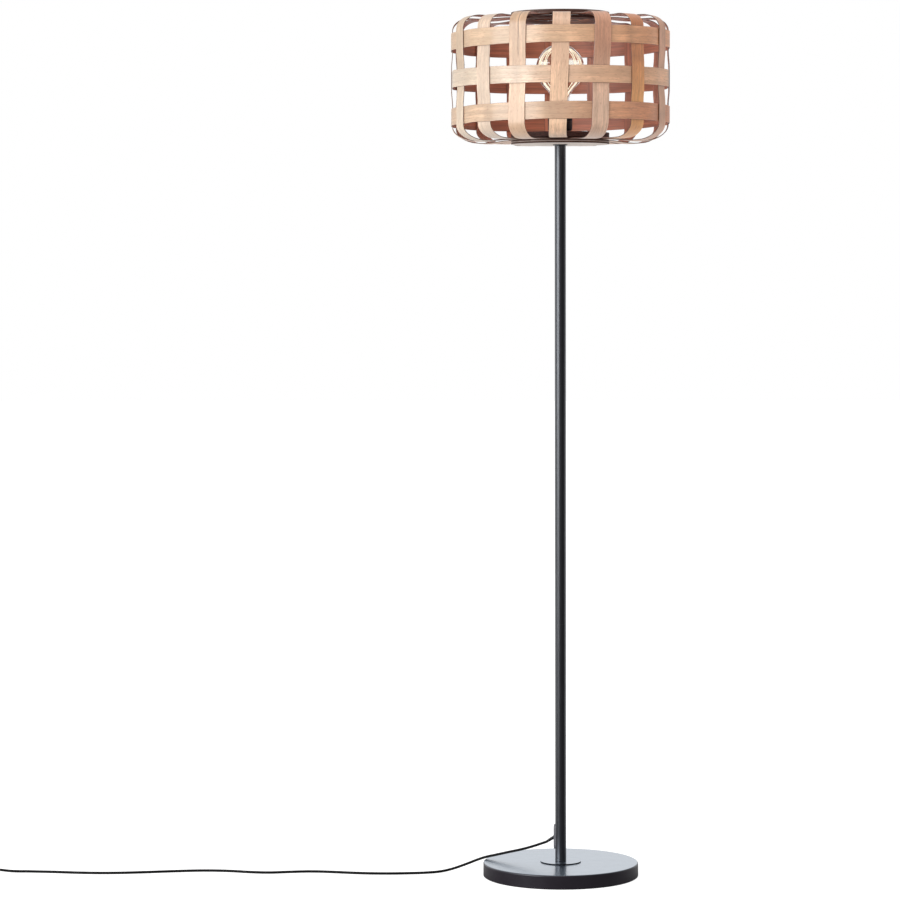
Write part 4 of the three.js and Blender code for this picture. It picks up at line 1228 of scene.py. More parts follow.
@dataclass
class Cable:
    """The cord: its free run to the foot switch, and its coil with a tie."""

    shop: Workshop  # what makes the meshes
    diameter: float = 0.0042  # the cord's diameter
    outlet_turn: float = 168.0  # the way it leaves the pole, seen from above, in degrees from +X
    outlet_drop: float = 33.0  # how steeply it leaves, in degrees
    crossing: float = 0.070245  # the height at which its line crosses the pole's axis
    boot_start: float = 0.0042  # how far along that line the boot starts
    boot_length: float = 0.020  # the boot's length
    boot_radii: Point = (0.0031, 0.00245)  # the boot's radius at the pole and at its end
    run_length: float = 0.946  # the cord's length from the boot to the foot switch
    coil_length: float = 0.757  # the cord's length from the foot switch to the plug
    coil_radius: float = 0.0184  # the radius of the coil's innermost turn
    coil_pitch: float = 0.0049  # how far apart neighbouring turns lie
    layer_turns: float = 2.25  # how many turns each of the coil's two layers has
    coil_climb: float = 0.5  # the share of a turn in which it climbs from one layer to the other
    coil_lead: float = 0.042  # how far from the switch's nozzle the turns start
    steps_per_turn: int = 24  # how many points each turn has
    nozzle_height: float = 0.008  # the height at which the cord enters the foot switch
    tie_width: float = 0.004  # half the width of the coil's tie
    tie_flat: float = 0.86  # the share of that width that stays flat
    tie_room: float = 0.0012  # how far the tie's outside stands off the turns at its ends
    tie_rise: float = 0.0014  # how far it stands off them above
    tie_wall: float = 0.0009  # the thickness of the tie's strap
    tie_bevel: float = 0.00015  # how far the tie's edges are drawn in on each side
    # The run's way over the base and along the floor, in millimetres.
    route: tuple[tuple[float, float, float], ...] = (
        (-28.1, 5.9, 52.9), (-43.1, 9.0, 47.3), (-63.8, 13.3, 40.8), (-86.4, 18.0, 35.1),
        (-105.4, 22.0, 30.2), (-124.4, 25.8, 25.2), (-137.5, 27.4, 20.5), (-149.0, 28.2, 15.8),
        (-163.5, 28.2, 10.3), (-178.3, 25.6, 5.8), (-195.1, 20.0, 2.9), (-215.3, 11.5, 2.3),
        (-253.1, 3.5, 2.3), (-293.7, 0.8, 2.3), (-334.9, 4.5, 2.3), (-370.6, 12.0, 2.3),
        (-408.9, 17.0, 2.3), (-446.3, 11.5, 2.3), (-478.2, 5.5, 2.3), (-508.0, 9.0, 2.3),
        (-544.3, 18.5, 2.3), (-585.0, 21.5, 2.3), (-630.0, 15.5, 2.3), (-680.0, 5.0, 2.3),
        (-730.0, -3.0, 2.3), (-780.0, -3.0, 2.3), (-830.0, 4.0, 2.3), (-872.0, 8.0, 2.3),
        (-902.0, 6.0, 3.2), (-924.0, 2.0, 6.2),
    )

    def direction(self) -> Vector:
        """Gives the way in which the cord leaves the pole."""
        turn = math.radians(self.outlet_turn)
        drop = math.radians(self.outlet_drop)
        return Vector(
            (math.cos(turn) * math.cos(drop), math.sin(turn) * math.cos(drop), -math.sin(drop))
        )

    def on_line(self, distance: float) -> Vector:
        """Gives a point on the cord's line, a distance from the pole's axis."""
        return Vector((0, 0, self.crossing)) + self.direction() * distance

    def build(self) -> None:
        """Builds the run and the coil with its tie."""
        boot_end = self.boot_start + self.boot_length + FIT
        switch_low, switch_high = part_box("switch_base")
        arrival = Vector((switch_high.x + FIT, 0, self.nozzle_height))
        points = [self.on_line(boot_end), self.on_line(boot_end + self.diameter)]
        points += [Vector(point) / 1000 for point in self.route]
        points += [arrival + Vector((self.diameter, 0, 0)), arrival]
        flex = self.shop.looks.flex
        self.run = self.shop.wire("flex_run", points, self.diameter / 2)
        self.shop.set_in(self.run, flex, "cord_run")
        turns = self._coil_points(Vector((switch_low.x - FIT, 0, self.nozzle_height)))
        self.coil = self.shop.wire("flex_coil", turns, self.diameter / 2, 3)
        self.shop.set_in(self.coil, flex, "cord_coil")
        self.tie = self._tie(turns)
        self.exits = (points[0], turns[0])

    def _coil_points(self, start: Vector) -> list[Vector]:
        """Gives the coil's line, from the switch through its turns to the plug.

        Args:
            start: Where the cord leaves the switch.

        Returns:
            The points.
        """
        low = self.diameter / 2 + SEAT
        outer = self.coil_radius + self.layer_turns * self.coil_pitch
        middle = Vector((start.x - self.coil_lead, -outer, 0))
        points = [start]
        for k in range(5):
            x = lerp(start.x - self.diameter, middle.x, k / 5)
            points.append(Vector((x, 0, lerp(start.z, low, ease(k / 5)))))
        for k in range(round(2 * self.layer_turns * self.steps_per_turn) + 1):
            turns = k / self.steps_per_turn
            off = turns - self.layer_turns
            radius = self.coil_radius + self.coil_pitch * abs(off)
            climb = min(1.0, max(0.0, off / self.coil_climb + 0.5))
            turn = math.pi / 2 + 2 * math.pi * turns
            points.append(
                Vector(
                    (
                        middle.x + radius * math.cos(turn),
                        middle.y + radius * math.sin(turn),
                        low + self.coil_pitch * climb,
                    )
                )
            )
        plug_low, plug_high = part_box("plug_body")
        end = Vector((plug_low.x - FIT, -2 * outer, (plug_low.z + plug_high.z) / 2))
        return [*points, end - Vector((self.diameter, 0, 0)), end]

    def _tie(self, turns: Sequence[Vector]) -> bpy.types.Object:
        """Wraps a strap round the coil's turns, on the side away from the plug.

        Args:
            turns: The coil's points.

        Returns:
            The strap.
        """
        outer = self.coil_radius + self.layer_turns * self.coil_pitch
        middle = Vector((turns[0].x - self.coil_lead, -outer, 0))
        reach = (self.coil_radius + outer) / 2
        half_width = (outer - self.coil_radius + self.diameter) / 2 + self.tie_room
        top = self.diameter + self.coil_pitch + self.tie_rise
        centre = middle + Vector((-reach, 0, top / 2))
        side = Vector((0, 1, 0))
        layers = []
        flat, drawn = self.tie_flat, self.tie_bevel
        for share, bevel in ((-1, drawn), (-flat, 0), (flat, 0), (1, drawn)):
            place = centre + side * (share * self.tie_width)
            outside = round_section(place, side, half_width, (top - SEAT) / 2, 32, 4)
            layers.append((outside, bevel))
        layers += [(outside, self.tie_wall - bevel) for outside, bevel in reversed(layers)]
        strap = [[place_in(point, ring, depth) for point in ring] for ring, depth in layers]
        tie = self.shop.skin("coil_tie", strap, looped=True)
        return self.shop.set_in(tie, self.shop.looks.tie)


def place_in(point: Vector, ring: Sequence[Vector], depth: float) -> Vector:
    """Draws a point of a ring in towards the ring's middle.

    Args:
        point: The point.
        ring: The ring.
        depth: How far in it goes.

    Returns:
        The new point.
    """
    middle = sum(ring, Vector()) / len(ring)
    return point + (middle - point).normalized() * depth


@dataclass
class Base:
    """The weighted base: its cover, felt pad and collar plate."""

    shop: Workshop  # what makes the meshes
    edge: float = 0.0024  # the radius of the cover's upper edge
    hem: float = 0.0005  # the radius of its lower edge
    soft: float = 0.0003  # the radius of the pad's and the collar's edges
    wall: float = 0.0015  # the cover's wall
    bolt_hole: float = 0.0043  # the radius of the hole for the bolt
    pad_hole: float = 0.015  # the radius of the pad's hole

    def build(self) -> None:
        """Builds the base."""
        shop, looks = self.shop, self.shop.looks
        low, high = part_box("base_cover")
        middle = (high.x - self.edge, high.z - self.edge)
        cover = [
            (high.x - self.wall, low.z),
            *fillet((high.x, low.z), self.hem, 270, 3),
            *fillet((high.x, high.z), self.edge, 0, 8),
            (self.bolt_hole, high.z),
            (self.bolt_hole, high.z - self.wall),
            *arc(middle, self.edge - self.wall, 90, 0, 3),
        ]
        made = shop.turned("cover", cover, 192)
        shop.set_in(made, looks.base_with_painted_reflection, "base_cover")
        shop.hoop("pad", "base_pad", self.pad_hole, self.soft, 128, looks.felt)
        shop.hoop("collar", "collar_plate", self.bolt_hole, self.soft, 128, looks.collar)
        shop.keep(looks.iron, "base_weight")
        shop.keep(looks.steel, "base_bolt")


@dataclass
class Pole:
    """The pole's tubes and flange, and the plate and boot where the cord comes out."""

    shop: Workshop  # what makes the meshes
    cable: Cable  # the cord, whose line the boot follows
    bore: float = 0.0078  # the tubes' inner radius
    sides: int = 64  # how many steps round the tubes and the flange have
    tube_soft: float = 0.00015  # the radius of the tubes' edges
    flange_soft: float = 0.0004  # the radius of the flange's edges
    boot_groove: float = 0.00035  # how deep the grooves of the boot are
    boot_lip: float = 0.0004  # how far the boot's end is drawn in
    plate_length: float = 0.041  # the outlet plate's length, upright
    plate_width: float = 0.012  # its width
    plate_middle: float = 0.0643  # the height of its middle
    plate_back: float = 0.006  # how far its back stands from the axis
    plate_face: float = 0.0108  # how far its face stands from the axis
    plate_edge: float = 0.001  # the radius of its edge

    def build(self) -> None:
        """Builds the pole."""
        paint, sides = self.shop.looks.paint, self.sides
        for name in ("lower", "middle", "upper"):
            node = f"pole_{name}"
            self.shop.hoop(f"{name}_tube", node, self.bore, self.tube_soft, sides, paint)
        self.shop.hoop("flange", "pole_flange", NIPPLE_HOLE, self.flange_soft, sides, paint)
        self._plate()
        self._boot()
        inserts = ("pole_foot_insert", "pole_head_insert", "pole_coupling_1", "pole_coupling_2")
        self.shop.keep(self.shop.looks.steel, *inserts, "shade_nipple")
        self.shop.keep(self.shop.looks.flex, "inner_flex")

    def _plate(self) -> None:
        """Builds the oblong plate on the tube's skin."""
        turn = math.radians(self.cable.outlet_turn)
        out = Vector((math.cos(turn), math.sin(turn), 0))
        side = Vector((-math.sin(turn), math.cos(turn), 0))
        depths = [(self.plate_back, 0.0)]
        depths += [(self.plate_face - drop, inset) for drop, inset in rounding(self.plate_edge, 4)]
        rings = []
        for depth, inset in depths:
            flat = stadium(Vector(), self.plate_length, self.plate_width, inset)
            middle = out * depth + UP * self.plate_middle
            rings.append([middle + UP * point.x + side * point.y for point in flat])
        plate = self.shop.skin("plate", rings)
        self.shop.set_in(plate, self.shop.looks.grey, "outlet_plate")

    def _boot(self) -> None:
        """Builds the tapered boot, with rings moulded round it."""
        cable = self.cable
        root, reach = cable.on_line(cable.boot_start), cable.direction() * cable.boot_length
        rings = Taper(
            root, reach, cable.boot_radii, 40, range(13, 37), 6, self.boot_groove
        ).rings()
        rings[-1] = [place_in(point, rings[-1], self.boot_lip) for point in rings[-1]]
        boot = self.shop.skin("boot", rings)
        self.shop.set_in(boot, self.shop.looks.plastic, "outlet_boot")


@dataclass
class Station:
    """One place along a strip or band where its section stands."""

    centre: Vector  # the section's centre
    across: Vector  # the way from its left edge to its right one
    normal: Vector  # the way that its outer face looks
    along: float = 0.0  # how far along the strip it stands, for its grain


@dataclass
class Shade:
    """The drum: sixteen strips bent from the bottom discs to the top rings, and three bands."""

    shop: Workshop  # what makes the meshes
    radius: float = 0.1742  # from the axis to the middle of the weave
    strip_width: float = 0.028  # the strips' width
    band_width: float = 0.0274  # the bands' width
    thickness: float = 0.0012  # the thickness of both
    weave_gap: float = 0.0005  # the air between a strip and a band that crosses it
    corner_reach: float = 0.032  # how far in from the wall the drum's rounding runs
    corner_rises: Point = (0.0224, 0.0225)  # how high the lower and upper rounding are
    end_radius: float = 0.058  # where the strips end, between the discs and between the rings
    opening: float = 0.055  # the radius of the opening in the rings
    foot_sags: Point = (0.002, 0.005)  # how far the strips sag below the discs, in front and at the back
    head_sag: float = 0.0024  # how far they dip beside the rings
    # The bands' middles above the lower strip ends.
    band_heights: tuple[float, ...] = (0.039, 0.0953, 0.158)
    # How far each band rises at its right-hand side.
    band_tilts: tuple[float, ...] = (0.0017, 0.0, 0.00153)
    # How far each band hangs lower at the back.
    band_drops: tuple[float, ...] = (0.0053, -0.00053, 0.002915)
    margin: float = 0.002  # the flat stretch past each edge of what crosses
    ledge: float = 0.001  # how far past the discs' rim the strips start to sag
    wobble: float = 0.0003  # how far hand-cut edges stray
    wobble_pace: float = 22.0  # how quickly they do so along the strip
    wobble_apart: float = 5.0  # how far apart in the noise the two edges are read
    soft: float = 0.0004  # how far the corners of a strip's section are cut off
    board_soft: float = 0.0003  # the radius of the discs' and rings' edges
    board_groove: float = 0.00045  # the depth of the groove between their two plies, and half its width
    # How far each strip's foot lies to the right of its even place, as a share of the distance to
    # the next.
    foot_shares: tuple[float, ...] = (
        -0.065, -0.08, -0.03, 0.0, 0.04, 0.085, 0.13, 0.135,
        0.18, 0.15, 0.13, 0.115, 0.1, 0.09, 0.06, -0.025,
    )
    # The same for its head.
    head_shares: tuple[float, ...] = (
        0.04, 0.015, -0.03, 0.01, 0.05, 0.09, 0.125, 0.14,
        0.165, 0.155, 0.135, 0.12, 0.1, 0.085, 0.055, 0.015,
    )
    # The colours of each strip's face, at its foot and at its head, with painted light: paler at the foot
    # and on the left, more orange on the right.
    strip_colours: tuple[tuple[Colour, Colour], ...] = (
        (srgb(239, 196, 159), srgb(222, 179, 146)),
        (srgb(221, 181, 153), srgb(205, 147, 115)),
        (srgb(250, 174, 103), srgb(215, 135, 82)),
        (srgb(222, 165, 128), srgb(216, 157, 121)),
        *[(srgb(206, 154, 114), srgb(200, 148, 108))] * 8,
        (srgb(212, 172, 138), srgb(206, 164, 130)),
        (srgb(215, 193, 167), srgb(202, 174, 143)),
        (srgb(220, 195, 171), srgb(206, 180, 156)),
        (srgb(222, 183, 149), srgb(199, 161, 126)),
    )
    # The colours of each band's face, from the lowest, where it starts and where it ends, with painted
    # light: paler on the left, where it starts, and more orange on the right, where it ends.
    band_colours: tuple[tuple[Colour, Colour], ...] = (
        (srgb(202, 169, 137), srgb(224, 145, 98)),
        (srgb(210, 189, 165), srgb(234, 178, 136)),
        (srgb(205, 172, 138), srgb(239, 166, 115)),
    )
    crack: Split = Split(0.53, 0.55, 0.8)  # the crack in the last strip

    def __post_init__(self) -> None:
        """Takes the levels of the strips' ends from the frame."""
        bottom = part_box("shade_disc_outer")[1].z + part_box("shade_disc_inner")[0].z
        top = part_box("shade_ring_inner")[1].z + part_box("shade_ring_outer")[0].z
        self.low = bottom / 2
        self.high = top / 2
        self.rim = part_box("shade_disc_outer")[1].x
        self.count = len(self.foot_shares)
        self.layer = (self.thickness + self.weave_gap) / 2

    def build(self) -> None:
        """Builds the drum."""
        for i in range(self.count):
            self._strip(i)
        for b, name in enumerate(("bottom", "middle", "top")):
            self._band(b, name)
        self._ends()

    def over(self, i: int, b: int) -> int:
        """Gives 1 where strip i lies over band b, and -1 where it lies under it."""
        return 1 if (i + b) % 2 else -1

    def turn_of(self, i: int, height: float) -> float:
        """Gives a strip's turn from the front.

        Args:
            i: The strip's number, from the front one on, anticlockwise from above.
            height: The height above the lower strip ends.

        Returns:
            The turn, in radians.
        """
        share = min(1.0, max(0.0, height / (self.high - self.low)))
        shift = lerp(self.foot_shares[i], self.head_shares[i], share)
        return 2 * math.pi / self.count * (i + shift)

    def outward(self, turn: float) -> Vector:
        """Gives the way out from the axis at a turn from the front."""
        return Vector((math.sin(turn), -math.cos(turn), 0))

    def sideways(self, turn: float) -> Vector:
        """Gives the way to the right, seen from outside, at a turn from the front."""
        return Vector((math.cos(turn), math.sin(turn), 0))

    def level(self, b: int, turn: float) -> float:
        """Gives the height of a band's middle above the lower strip ends, at a turn."""
        drop = self.band_drops[b] * (1 - math.cos(turn)) / 2
        return self.band_heights[b] + self.band_tilts[b] * math.sin(turn) - drop

    def _profile(self, i: int) -> list[tuple[float, float, float, float, float]]:
        """Gives a strip's side view.

        Args:
            i: The strip's number.

        Returns:
            Points of radius, height above the lower strip ends, the normal's parts out and
            up, and how far over (1) or under (-1) the strip lies.
        """
        total = self.high - self.low
        half = self.band_width / 2 + self.margin
        last = len(self.band_heights) - 1
        levels = [self.level(b, self.turn_of(i, h)) for b, h in enumerate(self.band_heights)]
        points = []
        start = self.radius - self.corner_reach
        reaches = [lerp(self.rim + self.ledge, start, k / 7) for k in range(7)]
        for reach in (self.end_radius, *reaches):
            points.append((reach, 0.0, 0.0, -1.0, float(self.over(i, 0))))
        rise = min(self.corner_rises[0], levels[0] - half)
        points += self._corner(rise, rise, -90, 0, self.over(i, 0))
        for b in range(last):
            low, high = levels[b] + half, levels[b + 1] - half
            for k in range(9):
                side = lerp(self.over(i, b), self.over(i, b + 1), ease(k / 8))
                points.append((self.radius, lerp(low, high, k / 8), 1.0, 0.0, side))
        rise = self.corner_rises[1]
        points += self._corner(total - rise, rise, 0, 90, self.over(i, last))
        for reach in (*reversed(reaches), self.end_radius):
            points.append((reach, total, 0.0, 1.0, float(self.over(i, last))))
        return [
            (reach, height - self.sag(i, reach, height < total / 2), out, up, side)
            for reach, height, out, up, side in points
        ]

    def sag(self, i: int, reach: float, is_foot: bool) -> float:
        """Gives how far a strip sags between the discs' rim and the wall.

        Args:
            i: The strip's number.
            reach: The distance from the axis.
            is_foot: Whether it is the strip's lower end.

        Returns:
            The sag, which is nothing by the rim and by the wall.
        """
        share = min(1.0, max(0.0, (reach - self.rim) / (self.radius - self.rim)))
        backness = (1 - math.cos(self.turn_of(i, 0.0))) / 2
        most = lerp(*self.foot_sags, backness) if is_foot else self.head_sag
        return most * math.sin(math.pi * share) ** 2

    def _corner(
        self, middle: float, rise: float, start: float, end: float, side: float
    ) -> list[tuple[float, float, float, float, float]]:
        """Gives the points of the drum's rounding, as _profile gives them.

        Args:
            middle: The height at which the rounding meets the wall.
            rise: How high the rounding is.
            start: The turn at which it starts, in degrees.
            end: The turn at which it ends.
            side: How far over or under the strip lies.

        Returns:
            The points.
        """
        points = []
        for k in range(13):
            turn = math.radians(lerp(start, end, k / 12))
            out, up = rise * math.cos(turn), self.corner_reach * math.sin(turn)
            size = math.hypot(out, up)
            reach = self.radius - self.corner_reach * (1 - math.cos(turn))
            points.append((reach, middle + rise * math.sin(turn), out / size, up / size, side))
        return points

    def _cane(
        self,
        node: str,
        stations: Sequence[Station],
        width: float,
        looped: bool,
        seeds: Point,
        colours: tuple[Colour, Colour],
        split: Split | None = None,
    ) -> None:
        """Lays a flat strip with softened edges through stations.

        Args:
            node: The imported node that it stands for.
            stations: The stations.
            width: The strip's width.
            looped: Whether it closes on itself.
            seeds: What sets its hand-cut edges and its grain apart.
            colours: The colours of its face where it starts and where it ends.
            split: A crack in it, if it has one.
        """
        for before, after in zip(stations, stations[1:]):
            after.along = before.along + (after.centre - before.centre).length
        soft, thick = self.soft, self.thickness
        half, thin = width / 2, thick / 2
        right = [(half - soft, thin), (half, thin - soft)]
        right += [(x, -y) for x, y in reversed(right)]
        left = [(-x, y) for x, y in reversed(right)]
        corners = [left[-1], *right, *left[:-1]]
        rings = []
        for station in stations:
            ring = []
            for x, y in corners:
                apart = self.wobble_apart if x > 0 else 0
                read = Vector((station.along * self.wobble_pace, seeds[0], apart))
                stray = self.wobble * noise.noise(read) * (1 if x > 0 else -1)
                place = station.across * (x + stray) + station.normal * y
                ring.append(station.centre + place)
            rings.append(ring)
        around = [0.0]
        for (x, y), (u, v) in zip(corners, corners[1:] + corners[:1]):
            around.append(around[-1] + math.hypot(u - x, v - y))
        along = [station.along for station in stations]
        total = along[-1]
        if looped:
            along.append(total + (stations[0].centre - stations[-1].centre).length)
        cane = self.shop.skin(f"cane_{node}", rings, looped, (along, around))
        name, size = f"bamboo_{node}", (total, width, thick, soft)
        finish = BambooFinish(name, *colours, seeds[1], *size, split)
        self.shop.set_in(cane, Look(finish.material(), "bamboo"), node)

    def _strip(self, i: int) -> None:
        """Builds one strip.

        Args:
            i: Its number.
        """
        stations = []
        for reach, height, out, up, side in self._profile(i):
            turn = self.turn_of(i, height)
            normal = self.outward(turn) * out + UP * up
            centre = self.outward(turn) * reach + UP * (self.low + height)
            centre += normal * (side * self.layer)
            stations.append(Station(centre, self.sideways(turn), normal))
        node, seeds = f"strip_{i + 1:02d}", (3.1 * i, 1.7 + 2.3 * i)
        split = self.crack if i == self.count - 1 else None
        colours = self.strip_colours[i]
        self._cane(node, stations, self.strip_width, False, seeds, colours, split)

    def _band(self, b: int, name: str) -> None:
        """Builds one band, which starts and ends behind a strip at the back.

        Args:
            b: Its number, from the lowest.
            name: Which band it is.
        """
        first = self.count // 2 + (1 - b % 2)
        crossings = []
        for i in range(first, first + self.count + 1):
            lap = i // self.count * 2 * math.pi
            turn = lap + self.turn_of(i % self.count, self.band_heights[b])
            reach = self.radius - self.over(i, b) * self.layer
            crossings.append((turn, self.outward(turn) * reach))
        half = self.strip_width / 2 + self.margin
        stations: list[Station] = []
        for (turn, middle), (next_turn, next_middle) in zip(crossings, crossings[1:]):
            side, next_side = self.sideways(turn), self.sideways(next_turn)
            for shift in (-half, 0.0, half):
                stations.append(self._band_station(b, turn, middle + side * shift))
            start, end = middle + side * half, next_middle - next_side * half
            pull = (end - start).length / 3
            knots = (start, start + side * pull, end - next_side * pull, end)
            for share in (k / 8 for k in range(1, 8)):
                between = lerp(turn, next_turn, share)
                stations.append(self._band_station(b, between, bezier(knots, share)))
        seeds = (70.0 + b, 61.3 + 5.1 * b)
        colours = self.band_colours[b]
        self._cane(f"band_{name}", stations, self.band_width, True, seeds, colours)

    def _band_station(self, b: int, turn: float, place: Vector) -> Station:
        """Gives a band's station.

        Args:
            b: The band's number.
            turn: The turn from the front.
            place: The station's place, seen from above.

        Returns:
            The station, at the band's height.
        """
        centre = Vector((place.x, place.y, self.low + self.level(b, turn)))
        return Station(centre, UP, self.outward(turn))

    def _ends(self) -> None:
        """Builds the discs and rings that hold the strips' ends."""
        low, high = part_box("shade_disc_outer")
        dark = srgb(72, 46, 38)
        middle = (low.z + high.z) / 2
        board = BoardFinish("pale_board", srgb(222, 208, 198), dark, self.rim, middle)
        pale = Look(board.material(), "plywood")
        board = BoardFinish("dark_board", srgb(96, 62, 50), dark, self.rim)
        brown = Look(board.material(), "bamboo_dark")
        pieces = (
            ("bottom_board", "shade_disc_outer", NIPPLE_HOLE, pale),
            ("bottom_plate", "shade_disc_inner", NIPPLE_HOLE, brown),
            ("top_plate", "shade_ring_inner", self.opening, brown),
            ("top_hoop", "shade_ring_outer", self.opening, brown),
        )
        for name, node, bore, look in pieces:
            low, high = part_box(node)
            piece = self.shop.turned(name, self._two_plies(bore, low.z, high.z), 144)
            self.shop.set_in(piece, look, node)

    def _two_plies(self, bore: float, low: float, high: float) -> list[Point]:
        """Gives the outline of a ring of two plies, with a groove between them.

        Args:
            bore: Its inner radius.
            low: Its lower height.
            high: Its upper height.

        Returns:
            The outline, for a turned piece.
        """
        middle = (low + high) / 2
        return [
            (bore, low),
            *fillet((self.rim, low), self.board_soft, 270, 2),
            (self.rim, middle - self.board_groove),
            (self.rim - self.board_groove, middle),
            (self.rim, middle + self.board_groove),
            *fillet((self.rim, high), self.board_soft, 0, 2),
            (bore, high),
        ]


@dataclass
class Holder:
    """The lamp holder: its nut, base cup, shell, core, contact and screw socket."""

    shop: Workshop  # what makes the meshes
    wall: float = 0.002  # the cup's and the shell's wall
    rounding: float = 0.004  # the radius of the cup's lower edge
    crown: float = 0.001  # the radius of the shell's upper edge
    chamfer: float = 0.0004  # how far the edges of the joint between cup and shell are cut off
    ribs: int = 36  # how many grip ribs the shell has
    rib_depth: float = 0.0006  # how deep the grooves between them are
    rib_ends: Point = (0.002, 0.003)  # how far above the shell's foot and below its crown the ribs end

    def build(self) -> None:
        """Builds the holder."""
        plastic = self.shop.looks.plastic
        low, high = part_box("holder_base")
        shell_low, shell_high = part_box("holder_shell")
        foot, top = shell_low.z, shell_high.z
        radius, chamfer = high.x, self.chamfer
        inside = radius - self.wall
        spigot = inside - FIT
        cup = [
            (NIPPLE_HOLE, low.z),
            *fillet((radius, low.z), self.rounding, 270, 8),
            (radius, foot - SEAT - chamfer),
            (radius - chamfer, foot - SEAT),
            (spigot, foot - SEAT),
            (spigot, high.z),
            (spigot - self.wall, high.z),
            (spigot - self.wall, low.z + self.wall),
            (NIPPLE_HOLE, low.z + self.wall),
        ]
        made = self.shop.turned("holder_cup", cup, 96)
        self.shop.set_in(made, plastic, "holder_base")
        start, end = foot + self.rib_ends[0], top - self.rib_ends[1]
        side = [(radius, lerp(start, end, k / 18)) for k in range(19)]
        shell = [
            (inside, foot),
            (radius - chamfer, foot),
            (radius, foot + chamfer),
            *side,
            *fillet((radius, top), self.crown, 0, 4),
            (inside, top),
        ]
        made = self.shop.turned("holder_sleeve", shell, 288, self._ribbed(radius, side))
        self.shop.set_in(made, plastic, "holder_shell")
        self.shop.keep(self.shop.looks.steel, "holder_nut")
        self.shop.keep(self.shop.looks.ceramic, "holder_core")
        self.shop.keep(self.shop.looks.brass, "holder_contact", "holder_socket")

    def _ribbed(self, outer: float, side: Sequence[Point]) -> Ripple:
        """Gives the change of radius that makes the shell's grip ribs.

        Args:
            outer: The radius that has ribs.
            side: The outline's points between which they run.

        Returns:
            The function of radius, height and turn.
        """

        def reach(radius: float, height: float, turn: float) -> float:
            """Draws the grooves between the ribs in."""
            if abs(radius - outer) > 1e-6 or not side[0][1] < height < side[-1][1]:
                return radius
            return radius - self.rib_depth * max(0.0, -math.cos(self.ribs * turn))

        return reach


